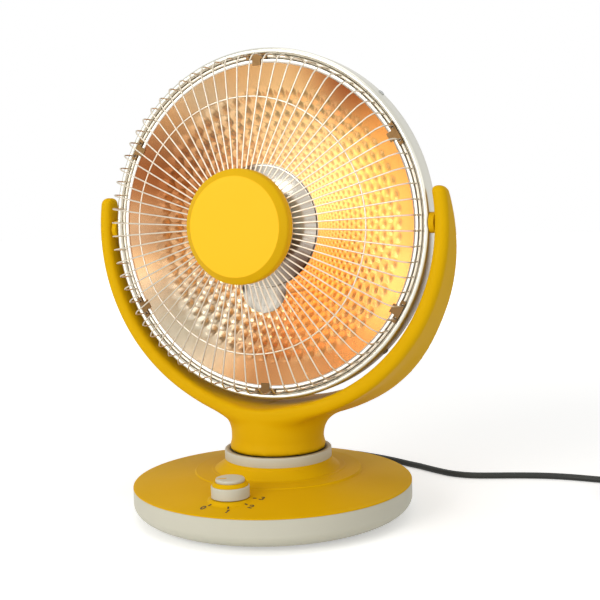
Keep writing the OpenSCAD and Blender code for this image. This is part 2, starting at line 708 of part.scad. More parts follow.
module plug_body() color(black) translate([plug_x, plug_y, plug_z]) rotate([90, 0, 0]) {
    cylinder(r1 = cord_r + 1, r2 = cord_r + 3, h = relief_l + 1, $fn = 32);
    translate([0, 0, relief_l]) intersection() {
        hull() {
            translate([-3, -4, 0]) cube([6, 8, 0.1]);
            translate([0, 0, plug_l - 12]) for (s = [-1, 1])
                translate([s * (plug_w / 2 - 9), 0, 0]) cylinder(r = 9, h = 12, $fn = 32);
        }
        translate([-plug_w, -plug_z, 0]) cube([2 * plug_w, 40, plug_l]);
    }
}

module plug_pins() color(steel) for (s = [-1, 1])
    translate([plug_x + s * pin_gap / 2, plug_y - relief_l - plug_l, plug_z]) rotate([90, 0, 0]) {
        cylinder(r = plug_pin_r, h = plug_pin_l - 1);
        translate([0, 0, plug_pin_l - 1]) cylinder(r1 = plug_pin_r, r2 = plug_pin_r - 1, h = 1);
    }

// ---------------------------------------------------------------- Neck and yoke

// Front view of the yoke: a crescent with rounded tips, drawn in by "inset"
module crescent(inset) {
    cut = tip_rise - arm_t / 2;
    tip_out = sqrt(pow(yoke_out_r, 2) - pow(cut + yoke_drop, 2));
    tip_in = sqrt(pow(yoke_in_r, 2) - pow(cut, 2));
    difference() {
        translate([0, head_z - yoke_drop]) circle(r = yoke_out_r - inset);
        translate([0, head_z]) circle(r = yoke_in_r + inset);
        translate([-far, head_z + cut]) square(2 * far);
    }
    for (s = [-1, 1]) translate([s * (tip_out + tip_in) / 2, head_z + cut])
        circle(r = (tip_out - tip_in) / 2 - inset, $fn = 36);
}

// Front of the yoke seen from above, which swells over the neck, and its back seen from the
// side, which leans in from the neck to the arms' tips
function plan_front(x) = front_y + (root_front_y - front_y) * exp(-pow(x / root_spread, 2));
function side_back(z) = root_back_y
    - (root_back_y - back_y) * pow(max(0, (z - head_z + yoke_low) / yoke_low), 1.35);
// Radius of the yoke's outside about the tilt axis, at an angle from straight down
function yoke_out_at(a) = yoke_drop * cos(a)
    + sqrt(pow(yoke_out_r, 2) - pow(yoke_drop * sin(a), 2));
plan_x = [for (i = [-20:20]) (yoke_out_r + 12) * sign(i) * pow(abs(i) / 20, 1.4)];
side_z = concat([0], [for (i = [0:24]) head_z - yoke_low + i * (yoke_low + tip_rise + 12) / 24]);
module front_slab(inset) linear_extrude(far) polygon(concat(
    [for (x = plan_x) [x, plan_front(x) + inset]],
    [[yoke_out_r + 12, far], [-yoke_out_r - 12, far]]));
module back_slab(inset) translate([-far, 0, 0]) rotate([90, 0, 90]) linear_extrude(2 * far)
    polygon(concat([for (z = side_z) [side_back(z) - inset, z]],
        [[-2 * far, head_z + tip_rise + 12], [-2 * far, 0]]));

module crescent_slab(inset) translate([0, far, 0]) rotate([90, 0, 0])
    linear_extrude(2 * far) crescent(inset);
module yoke_slab(front_in, back_in) intersection() {
    front_slab(front_in);
    back_slab(back_in);
}

neck_join_z = neck_z + neck_h - 3;
neck_outer = [[0, neck_z], [neck_rim_r, neck_z], [neck_rim_r, neck_z + 1.5],
    [neck_r + 0.3, neck_z + 7], [neck_r, neck_z + 13], [neck_r, neck_join_z], [0, neck_join_z]];
// Fillet between the neck and the arms, in radius and height
flare_top = 1 + head_z - yoke_drop - sqrt(pow(yoke_out_r, 2) - pow(neck_r + 15, 2));
neck_flare = concat([[0, neck_z + 10], [neck_r - 0.5, neck_z + 10]],
    arc_pts(neck_r + 20, flare_top - 24 * sin(105), 20, 24, 180, 105, 8),
    [[0, neck_join_z - 4]]);
// Screw places along the yoke's back, as angles from straight down
yoke_screw_angles = [-66, -40, 0, 40, 66];
function screw_at(a) = (yoke_in_r + yoke_out_at(a)) / 2;
module yoke_screw_places() for (a = yoke_screw_angles) {
    z = head_z - screw_at(a) * cos(a);
    translate([screw_at(a) * sin(a), side_back(z) - lid_t, z]) rotate([-90, 0, 0])
        children();
}
// Bosses for those screws, from wall to wall, that end behind the lead
yoke_lead_r = 2.2;
yoke_lead_y = pivot_y - 1;
boss_w = 6.4;
module yoke_bosses() for (a = yoke_screw_angles) {
    from_y = yoke_lead_y + yoke_lead_r + 1.4;
    inner = yoke_in_r + yoke_wall / 2;
    translate([0, 0, head_z]) rotate([0, -a, 0])
        translate([-boss_w / 2, from_y, yoke_wall / 2 - yoke_out_at(a)])
        cube([boss_w, side_back(head_z - yoke_in_r * cos(a) + boss_w) - lid_t - from_y,
            yoke_out_at(a) - yoke_wall / 2 - inner]);
}

module yoke() color(yellow) {
    lug_t = arm_t - 4;
    difference() {
        union() {
            intersection() {
                crescent_slab(0);
                yoke_slab(0, 0);
            }
            intersection() {
                on_neck() rotate_extrude() polygon(neck_outer);
                translate([0, far, head_z - yoke_drop]) rotate([90, 0, 0])
                    cylinder(r = yoke_out_r + 40, h = 2 * far);
            }
            intersection() {
                on_neck() rotate_extrude() polygon(neck_flare);
                yoke_slab(0, 0);
            }
        }
        translate([0, far, head_z]) rotate([90, 0, 0]) cylinder(r = yoke_in_r, h = 2 * far);
        difference() {
            intersection() {
                crescent_slab(yoke_wall);
                yoke_slab(yoke_wall, -20);
            }
            translate([-far, -far, arm_end_z]) cube(2 * far);
        }
        intersection() {
            on_neck() translate([0, 0, neck_z - 1]) {
                cylinder(r = neck_r - yoke_wall, h = neck_h + 20);
                cylinder(r = neck_rim_r - yoke_wall - 0.6, h = spindle_flange_t + 2);
            }
            difference() {
                translate([-far, -far, 0]) cube([2 * far, 2 * far, head_z]);
                translate([0, far, head_z]) rotate([90, 0, 0])
                    cylinder(r = yoke_in_r + yoke_wall, h = 2 * far);
            }
        }
        for (s = [-1, 1]) translate([s * yoke_in_r, pivot_y, head_z]) rotate([0, s * 90, 0])
            translate([0, 0, -3]) cylinder(r = pin_r + run_fit, h = lug_t + 3);
    }
    difference() {
        yoke_bosses();
        yoke_screw_places() translate([0, 0, -12]) cylinder(r = yoke_screw_r + run_fit, h = 13);
    }
}

// Strip that closes the yoke's open back
module yoke_back() color(yellow) difference() {
    intersection() {
        crescent_slab(yoke_wall + lid_gap);
        difference() {
            yoke_slab(0, 0);
            translate([0, -lid_t, 0]) back_slab(0);
        }
    }
    translate([-far, -far, arm_end_z - lid_gap]) cube(2 * far);
    yoke_screw_places() {
        translate([0, 0, -1]) cylinder(r = yoke_screw_r + seat_gap, h = 8);
        translate([0, 0, lid_t - screw_sink]) cylinder(r = yoke_screw_head_r + seat_gap, h = 8);
    }
}

module yoke_screws() color(steel) yoke_screw_places() {
    translate([0, 0, lid_t - screw_sink]) cylinder(r = yoke_screw_head_r, h = screw_sink);
    translate([0, 0, -10]) cylinder(r = yoke_screw_r, h = lid_t + 10 - screw_sink / 2);
}

// Lead up the spindle, through the neck and along the right arm to the pivot
module yoke_lead() color(black) {
    r = yoke_in_r + yoke_wall + yoke_lead_r + 0.4;
    arm = [for (a = [20:10:80]) [r * sin(a), yoke_lead_y, head_z - r * cos(a)]];
    tube(smooth(concat([[0, neck_y, spindle_bottom], [0, neck_y, neck_z],
        [3, neck_y - 1, neck_z + 10], [11, neck_y - 7, neck_z + 20],
        [28, pivot_y + 2, neck_z + neck_h - 9]], arm), 2), yoke_lead_r, 8, [0, 1, 0]);
}

// ---------------------------------------------------------------- Head

module tilt_pins() color(steel) for (s = [-1, 1])
    translate([s * (bracket_r - bracket_t), pivot_y, head_z]) rotate([0, s * 90, 0])
        cylinder(r = pin_r, h = yoke_in_r + arm_t - 5 - bracket_r + bracket_t);

module tilt_washers() color(black) for (s = [-1, 1])
    translate([s * (ring_r + 0.1), pivot_y, head_z]) rotate([0, s * 90, 0]) difference() {
        cylinder(r = pin_r + 5, h = yoke_gap - 0.4);
        translate([0, 0, -1]) cylinder(r = pin_r + run_fit, h = yoke_gap + 2);
    }

// Bores through both sides of the head for the tilt pins
module pin_bores(fit) for (s = [-1, 1]) translate([s * (groove_out_r + 1.4), pivot_y, head_z])
    rotate([0, s * 90, 0]) cylinder(r = pin_r + fit, h = 20);

// Curved plates inside the ring that carry the tilt pins
module pivot_brackets() color(steel) difference() {
    on_head() for (a = [-8, 172]) rotate([0, 0, a]) rotate_extrude(angle = 16)
        translate([bracket_r - bracket_t, pivot_y - pin_r + 0.6])
            square([bracket_t, 2 * pin_r]);
    pin_bores(0.02);
}

ring_profile = [
    [flange_r, ring_front_y], [groove_in_r - 0.4, ring_front_y],
    [groove_in_r, ring_front_y + groove_depth], [groove_out_r, ring_front_y + groove_depth],
    [groove_out_r + 0.4, ring_front_y], [groove_out_r + 1.4, ring_front_y - 1.2],
    [groove_out_r + 2.6, ring_front_y - 1.7], [ring_r - 1.6, ring_front_y - 1.3],
    [ring_r - 0.5, ring_front_y + 0.1], [ring_r, ring_front_y + 2], [ring_r, ring_back_y],
    [ring_r - sheet_t, ring_back_y], [ring_r - sheet_t, ring_front_y + 2.3],
    [ring_r - 1.8, ring_front_y + 0.2], [ring_r - 2.6, ring_front_y - 0.5],
    [groove_out_r + 2, ring_front_y - 0.3], [groove_out_r + 1.4, ring_front_y + 0.4],
    [groove_out_r + sheet_t, ring_front_y + groove_depth + sheet_t],
    [groove_in_r - sheet_t, ring_front_y + groove_depth + sheet_t],
    [groove_in_r - 1.4, ring_front_y + sheet_t], [flange_r, ring_front_y + sheet_t]];

module steel_ring() color(steel) difference() {
    on_head() rotate_extrude() polygon(ring_profile);
    pin_bores(0.02);
    housing_screw_places(0.1) cylinder(r = 1.6, h = 8);
}

module reflector_dish() color(gold) on_head() difference() {
    front = [for (i = [0:16]) let (r = dish_hole_r + (dish_r - dish_hole_r) * i / 16) [r, dish_at(r)]];
    back = [for (i = [16:-1:0]) [front[i][0] + (i == 16 ? 0.2 : 0), front[i][1] + dish_t]];
    rotate_extrude() polygon(concat(front, back));
    for (s = [-1, 1]) translate([s * stay_x, stay_down, 0]) cylinder(r = stay_r + 0.2, h = 100);
}

// Places children on the screws that hold the ring to the housing, pointing inwards
module housing_screw_places(lift) on_head() for (a = [45, 135, 225, 315]) rotate([0, 0, a])
    translate([ring_r + lift, 0, (ring_back_y + housing_front_y) / 2]) rotate([0, -90, 0]) children();

module housing_screws() color(steel) housing_screw_places(0) {
    translate([0, 0, -1]) cylinder(r = 2.8, h = 1);
    cylinder(r = 1.5, h = 7);
}

vent_in_r = 66;
vent_out_r = 104;
vent_count = 20;
vent_w = 4;

// Bowl behind the dish, vented, with a boss for the element's foot
module rear_housing() color(yellow) {
    w = housing_wall;
    boss_y = dish_at(0) + element_foot_t;
    on_head() difference() {
        union() {
            rotate_extrude() polygon(concat(
                [[housing_r - w, housing_front_y], [housing_r, housing_front_y], [housing_r, bowl_y]],
                arc_pts(0, bowl_y, bowl_r, bowl_d, 0, 90, 14),
                arc_pts(0, bowl_y, bowl_r - w - 1, bowl_d - w, 90, 0, 14)));
            translate([0, 0, boss_y]) cylinder(r = core_r, h = housing_back_y - boss_y - 1);
        }
        for (a = [0:vent_count - 1]) rotate([0, 0, (a + 0.5) * 360 / vent_count])
            translate([vent_in_r, -vent_w / 2, bowl_y + 10]) cube([vent_out_r - vent_in_r, vent_w, 100]);
        for (a = [45, 135, 225, 315]) rotate([0, 0, a]) translate([ring_r - 12, 0,
            (ring_back_y + housing_front_y) / 2]) rotate([0, 90, 0]) cylinder(r = 1.6, h = 20);
    }
}

// ---------------------------------------------------------------- Guard and hub

// Outline of a flat strip of width w along points p
function strip_normal(p, i) = let (m = len(p) - 1,
    t = unit(p[min(i + 1, m)] - p[max(i - 1, 0)])) [-t[1], t[0]];
function strip(p, w) = concat(
    [for (i = [0:len(p) - 1]) p[i] + strip_normal(p, i) * w / 2],
    [for (i = [len(p) - 1:-1:0]) p[i] - strip_normal(p, i) * w / 2]);

shoulder_r = ring_r - 14;
shoulder_y = ring_front_y - shoulder_front;
wire_hub_y = hub_back_y + wire_t / 2;
guard_ring_r = 1.2;
guard_ring_y = ring_front_y + groove_depth - guard_ring_r - 0.1;
wire_line = [
    [hub_r - 6, wire_hub_y], [hub_r, wire_hub_y], [shoulder_r - 6, shoulder_y - 1],
    [shoulder_r + 1, shoulder_y + 1.5], [groove_r - 1, shoulder_y + 6],
    [groove_r, shoulder_y + 12], [groove_r, guard_ring_y]];
function wire_y(r) = wire_hub_y + (shoulder_y - 1 - wire_hub_y) * (r - hub_r) / (shoulder_r - 6 - hub_r);

module front_guard() color(steel) on_head() {
    for (i = [0:wire_count - 1]) radial_plate(wire_t, (i + 0.5) * 360 / wire_count)
        polygon(strip(wire_line, wire_t));
    rotate_extrude() translate([groove_r, guard_ring_y]) circle(r = guard_ring_r, $fn = 16);
    rotate_extrude() translate([mid_ring_r, wire_y(mid_ring_r) + 1.2]) circle(r = 1, $fn = 16);
    rotate_extrude() translate([hub_r - 5.4, wire_hub_y - wire_t / 2]) square([2.4, wire_t]);
}

clip_w = 21;
clip_t = 1.1;
module guard_clips() color(brass) on_head() for (i = [0:clip_count - 1])
    rotate([0, 0, -90 + 360 * i / clip_count]) {
        half = clip_w / groove_r * 90 / PI;
        difference() {
            rotate([0, 0, -half]) rotate_extrude(angle = 2 * half)
                translate([groove_in_r - 0.2, ring_front_y - clip_t])
                    square([groove_out_r - groove_in_r + 0.4, clip_t]);
            for (k = [-2:1]) rotate([0, 0, (k + 0.5) * 360 / wire_count])
                translate([groove_r, 0, ring_front_y - 5]) cylinder(r = wire_t / 2 + 0.35, h = 10);
        }
        translate([flange_r + 1, -4.2, ring_front_y - clip_t])
            cube([groove_in_r - flange_r - 0.6, 8.4, clip_t]);
    }

module hub_cap() color(yellow) on_head() rotate_extrude() {
    e = 8;
    polygon(concat([[0, hub_face_y]],
        arc_pts(hub_r - e, hub_face_y + e, e, e, -90, 0, 6),
        [[hub_r, hub_back_y], [hub_r - hub_wall, hub_back_y]],
        arc_pts(hub_r - e, hub_face_y + e, e - hub_wall, e - hub_wall, 0, -90, 6),
        [[0, hub_face_y + hub_wall]]));
}

// Plate behind the wires with the stud that draws the cap on to them
module hub_plate() color(steel) on_head() {
    translate([0, 0, hub_back_y + wire_t]) cylinder(r = hub_r - 2.5, h = 1.2);
    translate([0, 0, hub_face_y + hub_wall]) cylinder(r = 4,
        h = hub_back_y + wire_t - hub_face_y - hub_wall + 0.5);
}

// ---------------------------------------------------------------- Element

function counter_at(r) = counter_y - counter_rise * (1 - pow(r / counter_r, 2));
module counter_reflector() color(steel) on_head() difference() {
    front = [for (i = [0:10]) let (r = counter_r * i / 10) [r, counter_at(r)]];
    rotate_extrude() polygon(concat(front, [for (i = [10:-1:0]) front[i] + [0, dish_t]]));
    translate([0, 0, counter_y - 20]) cylinder(r = stem_r + 0.1, h = 40);
}

module terminal_shield() color(steel) on_head() translate([0, 0, tongue_y]) linear_extrude(1.2) {
    translate([-tongue_w / 2, core_r + 2])
        square([tongue_w, tongue_reach - tongue_w / 2 - core_r - 2]);
    intersection() {
        translate([0, tongue_reach - tongue_w / 2]) circle(r = tongue_w / 2);
        translate([-tongue_w, 0]) square([2 * tongue_w, 2 * tongue_reach]);
    }
}

module shield_stays() color(steel) on_head() for (s = [-1, 1])
    translate([s * stay_x, stay_down, tongue_y + 1.2])
        cylinder(r = stay_r, h = dish_at(norm([stay_x, stay_down])) + 5 - tongue_y);

core_front = winding_start - 4;
core_back = dish_at(0) - 8;

module element_core() color(ceramic) on_head() difference() {
    translate([0, 0, core_front]) cylinder(r = core_r, h = core_back - core_front);
    translate([0, 0, core_front - 1]) cylinder(r = stem_r + 0.1, h = 22);
}

// Stud that carries the counter reflector on the core, with its nut
module element_stem() color(steel) on_head() {
    nut_y = counter_at(0);
    translate([0, 0, nut_y - 3]) cylinder(r = stem_r, h = core_front + 20 - nut_y + 3);
    translate([0, 0, nut_y - 2.3]) cylinder(r = 5, h = 2.2, $fn = 6);
    translate([0, 0, nut_y + dish_t + 0.1]) cylinder(r = 5, h = core_front - nut_y - dish_t - 0.2);
}

// Foot that joins the core to the housing's boss and centres the dish
module element_base() color(ceramic) on_head() {
    foot_y = dish_at(0) + element_foot_t;
    flange_y = dish_at(dish_hole_r) + dish_t + seat_gap;
    translate([0, 0, core_back]) cylinder(r = dish_hole_r - 0.4, h = foot_y - core_back);
    translate([0, 0, flange_y]) cylinder(r = dish_hole_r + 5, h = foot_y - flange_y);
}

// Winding: turns from a formula, its ends straight for a diameter into the terminals
function winding_at(t) = [winding_r * cos(360 * t), winding_r * sin(360 * t),
    winding_start + winding_pitch * t];
winding_lead = 4 * winding_tube_r;
winding_path = concat(
    [winding_at(0) - [0, winding_lead, 0], winding_at(0) - [0, winding_lead / 2, 0]],
    [for (i = [0:24 * winding_turns]) winding_at(i / 24)],
    [winding_at(winding_turns) + [0, winding_lead / 2, 0],
     winding_at(winding_turns) + [0, winding_lead, 0]]);
winding_gap = min([for (i = [0:len(winding_path) - 9]) for (j = [i + 8:len(winding_path) - 1])
    norm(winding_path[i] - winding_path[j])]) - 2 * winding_tube_r;
echo(winding_gap = winding_gap);

module element_winding() color("#ff7a2a") on_head() tube(winding_path, winding_tube_r, 6);

module element_terminals() color(brass) on_head() for (e = [[0, -1], [winding_turns, 1]]) {
    p = winding_at(e[0]);
    h = 2 * winding_tube_r + 0.1;
    difference() {
        translate([0, e[1] > 0 ? winding_lead : -winding_lead - 5, p[2] - h / 2])
            cube([winding_r + 2.5, 5, h]);
        translate([0, 0, p[2] - 5]) cylinder(r = core_r + 0.1, h = 10);
    }
}

module thermal_cutout() color(black) on_head() {
    at = dish_hole_r + 34;
    slope = atan(2 * dish_depth * at / dish_r / dish_r);
    translate([0, -at, dish_at(at) + dish_t + 0.1]) rotate([slope, 0, 0]) {
        translate([0, 0, 0.3]) cylinder(r = 8, h = 7);
        translate([0, 0, 7.3]) cylinder(r = 5, h = 4);
    }
}

// Leads behind the dish, midway between it and the housing
module head_leads() color(black) {
    between = [for (p = [[ring_r - 26, 4], [ring_r - 52, 6], [ring_r - 90, 5], [dish_hole_r + 24, 3]])
        [p[0], (dish_at(p[0]) + bowl_at(p[0])) / 2, head_z - p[1]]];
    tube(smooth(concat([[ring_r - 9, pivot_y + 9, head_z], [ring_r - 14, pivot_y + 17, head_z - 2]],
        between, [[dish_hole_r + 5.2, dish_at(0) + element_foot_t / 2, head_z - 1]]), 2), 2.2, 8);
}

base_tray();
base_cover();
collar_ring();
rubber_feet();
ballast_plate();
base_screws();
swivel_plate();
swivel_screws();
swivel_bush();
thrust_washer();
swivel_spindle();
sector_gear();
retaining_clip();
swing_motor();
motor_pinion();
rotary_switch();
switch_nut();
switch_shaft();
knob_body();
knob_band();
knob_cap();
tip_guide();
tip_plunger();
tip_spring();
tip_switch();
terminal_block();
base_leads();
cord_gland();
cord();
cord_coil();
plug_body();
plug_pins();
yoke();
yoke_back();
yoke_screws();
yoke_lead();
tilt_pins();
tilt_washers();
pivot_brackets();
steel_ring();
reflector_dish();
rear_housing();
housing_screws();
front_guard();
guard_clips();
hub_cap();
hub_plate();
counter_reflector();
terminal_shield();
shield_stays();
element_core();
element_winding();
element_base();
element_stem();
element_terminals();
thermal_cutout();
head_leads();
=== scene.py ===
"""Dish heater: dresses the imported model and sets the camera, the lamps and the floor."""

import logging
import math
from dataclasses import dataclass, field
from enum import Enum

import bmesh
import bpy
import numpy as np
from mathutils import Matrix, Vector

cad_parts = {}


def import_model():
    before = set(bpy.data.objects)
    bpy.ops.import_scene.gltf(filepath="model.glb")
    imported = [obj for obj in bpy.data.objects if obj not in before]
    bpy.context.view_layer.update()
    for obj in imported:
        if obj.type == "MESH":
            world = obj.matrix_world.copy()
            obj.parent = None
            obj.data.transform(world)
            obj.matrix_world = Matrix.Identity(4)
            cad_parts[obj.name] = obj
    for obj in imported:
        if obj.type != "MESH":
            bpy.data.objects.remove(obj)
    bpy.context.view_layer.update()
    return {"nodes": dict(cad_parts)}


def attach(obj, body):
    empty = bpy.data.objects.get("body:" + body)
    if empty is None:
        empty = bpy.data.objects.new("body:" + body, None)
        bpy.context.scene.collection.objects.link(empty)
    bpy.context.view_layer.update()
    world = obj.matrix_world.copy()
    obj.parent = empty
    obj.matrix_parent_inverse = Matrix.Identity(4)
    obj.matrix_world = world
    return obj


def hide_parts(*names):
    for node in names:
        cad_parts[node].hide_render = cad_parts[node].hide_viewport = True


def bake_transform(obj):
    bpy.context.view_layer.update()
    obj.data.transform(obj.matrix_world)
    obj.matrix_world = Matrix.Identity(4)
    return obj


log = logging.getLogger("heater")
MM = 0.001
TAU = 2.0 * math.pi
HEAD_Z = 267.0
HEAD_AXIS = (0.0, HEAD_Z)
NECK_Y, NECK_Z = 12.0, 58.7
KNOB_AT = (6.0, -91.0)
PLUNGER_AT = (66.0, -40.0)
ACROSS = (1.0, 0.0, 1.0)


class Axis(Enum):
    """Axis that a profile is turned about."""

    UP = "z"
    HEAD = "y"


# ---------------------------------------------------------------- Mesh maths


def arc(cx: float, cy: float, r: float, a0: float, a1: float, n: int = 8) -> np.ndarray:
    """Points of a round stretch of a profile.

    The points are (cx + r cos a, cy + r sin a) for n + 1 angles from a0 to a1 in degrees.

    Args:
        cx, cy: the arc's centre. r: its radius. a0, a1: its end angles. n: its steps.

    Returns:
        An (n + 1, 2) array.
    """
    a = np.radians(np.linspace(a0, a1, n + 1))
    return np.column_stack([cx + r * np.cos(a), cy + r * np.sin(a)])


def bearing(degrees: float) -> tuple:
    """Cosine and sine of an angle in degrees."""
    return math.cos(math.radians(degrees)), math.sin(math.radians(degrees))


def outline(*parts: object) -> np.ndarray:
    """Joins single points and arcs into one (n, 2) profile."""
    return np.vstack([np.atleast_2d(np.asarray(p, float)) for p in parts])


def points(x: np.ndarray, y: np.ndarray, z: np.ndarray) -> np.ndarray:
    """Three coordinates brought to one shape and stacked along a last axis."""
    return np.stack(np.broadcast_arrays(x, y, z), axis=-1)


def grid_faces(rows: int, cols: int, wrap_u: bool = False, wrap_v: bool = False) -> np.ndarray:
    """Quads of a grid whose vertex (i, j) has the number i * cols + j.

    Args:
        rows, cols: the grid's size. wrap_u: joins the last row to the first.
        wrap_v: joins the last column to the first.

    Returns:
        An (m, 4) array of vertex numbers.
    """
    i = np.arange(rows if wrap_u else rows - 1)
    j = np.arange(cols if wrap_v else cols - 1)
    i, j = [a.ravel() for a in np.meshgrid(i, j, indexing="ij")]
    i1, j1 = (i + 1) % rows, (j + 1) % cols
    return np.column_stack([i * cols + j, i * cols + j1, i1 * cols + j1, i1 * cols + j])


def capped(rows: int, cols: int) -> list:
    """Faces of rings joined to each other, with a flat face on the first and the last ring."""
    ends = [list(range(cols)), list(range((rows - 1) * cols, rows * cols))]
    return grid_faces(rows, cols, wrap_v=True).tolist() + ends


def merged(parts: list) -> tuple:
    """Joins (points, faces) pairs into one pair, with the faces numbered on."""
    verts, faces, count = [], [], 0
    for part, cells in parts:
        verts.append(part)
        faces += [[k + count for k in face] for face in cells]
        count += len(part)
    return np.vstack(verts), faces


def build(name: str, verts: np.ndarray, faces: object, smooth: bool = True,
          tidy: bool = True) -> bpy.types.Object:
    """Makes a mesh object at the origin from points in millimetres.

    Args:
        name: the piece's name. verts: (n, 3) points in mm. faces: quads, or a list of faces.
        smooth: shades the faces smooth. tidy: merges doubles and turns the faces outwards.

    Returns:
        The new object, linked to the scene.
    """
    mesh = bpy.data.meshes.new(name)
    faces = faces.tolist() if isinstance(faces, np.ndarray) else faces
    mesh.from_pydata((np.asarray(verts) * MM).tolist(), [], faces)
    mesh.polygons.foreach_set("use_smooth", [smooth] * len(mesh.polygons))
    obj = bpy.data.objects.new(name, mesh)
    bpy.context.collection.objects.link(obj)
    if tidy:
        bm = bmesh.new()
        bm.from_mesh(mesh)
        bmesh.ops.remove_doubles(bm, verts=bm.verts, dist=1e-6)
        bmesh.ops.recalc_face_normals(bm, faces=bm.faces)
        bm.to_mesh(mesh)
        bm.free()
    return obj


def closed(name: str, pts: np.ndarray) -> bpy.types.Object:
    """A piece from an (n, m, 3) grid of points that joins up both ways."""
    n, m, _ = pts.shape
    return build(name, pts.reshape(-1, 3), grid_faces(n, m, wrap_u=True, wrap_v=True))


def stopped(name: str, pts: np.ndarray) -> bpy.types.Object:
    """A piece from n rings of m points, (n, m, 3), with a flat face at each end."""
    n, m, _ = pts.shape
    return build(name, pts.reshape(-1, 3), capped(n, m))


def place(profile: np.ndarray, angles: np.ndarray, axis: Axis, centre: tuple) -> np.ndarray:
    """Turns a profile about an axis.

    A profile point (r, h) at angle a goes to (r cos a, r sin a) across the axis and h along
    it; on the head's axis, h is the world's Y and the angle runs from +X towards -Z.

    Args:
        profile: (m, 2) radii and heights. angles: radians. axis: what it turns about.
        centre: the axis's place, as (x, y) for UP and (x, z) for HEAD.

    Returns:
        An (angles, m, 3) array.
    """
    c, s = np.cos(angles)[:, None], np.sin(angles)[:, None]
    r, h = profile.T
    if axis is Axis.UP:
        return points(centre[0] + r * c, centre[1] + r * s, h)
    return points(centre[0] + r * c, h, centre[1] - r * s)


def revolve(name: str, profile: np.ndarray, axis: Axis, centre: tuple,
            steps: int = 192) -> bpy.types.Object:
    """A closed solid turned from a closed profile: the grid of place(), joined both ways.

    Args:
        name: the piece's name. profile: its closed outline in (r, h). axis, centre: as in
            place(). steps: angles round the axis.

    Returns:
        The new object.
    """
    return closed(name, place(profile, np.arange(steps) * TAU / steps, axis, centre))


def frames(path: np.ndarray) -> tuple:
    """Tangents and two cross directions along a path, carried without twist.

    The first side is square to the first tangent; each next one is the last one with its
    part along the new tangent taken away.

    Args:
        path: (n, 3) points.

    Returns:
        Tangents, sides and ups, each (n, 3) and of length one.
    """
    t = np.gradient(path, axis=0)
    t /= np.linalg.norm(t, axis=1)[:, None]
    helper = np.eye(3)[np.argmin(np.abs(t).max(axis=0))]
    s = np.cross(t, helper[None, :])
    if np.linalg.norm(s, axis=1).min() < 0.15:
        s = np.zeros_like(t)
        s[0] = np.cross(t[0], np.eye(3)[np.argmin(np.abs(t[0]))])
        for i in range(1, len(t)):
            size = np.linalg.norm(s[i - 1])
            s[i] = s[i - 1] / size - t[i] * np.dot(t[i], s[i - 1]) / size
    s /= np.linalg.norm(s, axis=1)[:, None]
    return t, s, np.cross(s, t)


def tube_points(path: np.ndarray, radius: object, sides: int) -> np.ndarray:
    """Rings of a tube: point + radius (cos a side + sin a up) at each of the path's points.

    Args:
        path: (n, 3) points. radius: one radius or one per point. sides: points in a ring.

    Returns:
        An (n, sides, 3) array.
    """
    _, s, u = frames(path)
    a = np.arange(sides) * TAU / sides
    r = np.broadcast_to(np.asarray(radius, float), (len(path),))[:, None, None]
    ring = np.cos(a)[None, :, None] * s[:, None, :] + np.sin(a)[None, :, None] * u[:, None, :]
    return path[:, None, :] + r * ring


def tube(name: str, path: np.ndarray, radius: object, sides: int = 12) -> bpy.types.Object:
    """A tube with flat ends along a path; see tube_points()."""
    return stopped(name, tube_points(path, radius, sides))


def many(verts: np.ndarray, faces: np.ndarray) -> tuple:
    """Joins k copies of one piece, given as (k, n, 3) points and shared faces, into one mesh."""
    k, n, _ = verts.shape
    offsets = (np.arange(k) * n)[:, None, None]
    return verts.reshape(-1, 3), (faces[None] + offsets).reshape(-1, faces.shape[1])


def spline(points: np.ndarray, steps: int) -> np.ndarray:
    """Catmull-Rom curve through points, with steps points from each one to the next.

    Args:
        points: (n, 2) or (n, 3) points. steps: points between neighbours.

    Returns:
        An array of (n - 1) * steps + 1 points.
    """
    p = np.vstack([points[:1], points, points[-1:]])
    a, b, c, d = (p[k:len(p) - 3 + k, None, :] for k in range(4))
    t = (np.arange(steps) / steps)[None, :, None]
    q = 0.5 * (2 * b + (c - a) * t + (2 * a - 5 * b + 4 * c - d) * t ** 2
               + (3 * b - a - 3 * c + d) * t ** 3)
    return np.vstack([q.reshape(-1, points.shape[1]), points[-1:]])


def smooth_step(x: np.ndarray) -> np.ndarray:
    """0 below 0, 1 above 1, and 3x^2 - 2x^3 between."""
    x = np.clip(x, 0, 1)
    return x * x * (3 - 2 * x)


def smooth_max(a: np.ndarray, b: np.ndarray, k: float) -> np.ndarray:
    """The larger of two heights, blended over a width k."""
    h = np.clip(0.5 + 0.5 * (a - b) / k, 0, 1)
    return b + (a - b) * h + k * h * (1 - h)


# ---------------------------------------------------------------- Finishes


def linear(code: str) -> tuple:
    """Turns an sRGB hex colour such as "#E0AC08" to linear values."""
    v = np.array([int(code[i:i + 2], 16) for i in (1, 3, 5)]) / 255
    v = np.where(v <= 0.04045, v / 12.92, ((v + 0.055) / 1.055) ** 2.4)
    return (*v.tolist(), 1.0)


def emptied(owner: bpy.types.ID) -> bpy.types.ID:
    """Gives a material or a world an empty node tree."""
    owner.use_nodes = True
    owner.node_tree.nodes.clear()
    return owner


def add(mat: bpy.types.ID, kind: str, inputs: dict | None = None,
        **settings: object) -> bpy.types.Node:
    """Adds a node to a material or a world.

    Args:
        mat: the material. kind: the node's type name. inputs: for an input's name or number,
            the output socket that feeds it, or its value. settings: attributes, or inputs'
            values by name with underscores for spaces.

    Returns:
        The node.
    """
    n = mat.node_tree.nodes.new(kind)
    for key, value in settings.items():
        if hasattr(n, key):
            setattr(n, key, value)
        else:
            n.inputs[key.replace("_", " ")].default_value = value
    for key, value in (inputs or {}).items():
        if isinstance(value, bpy.types.NodeSocket):
            mat.node_tree.links.new(value, n.inputs[key])
        else:
            n.inputs[key].default_value = value
    return n


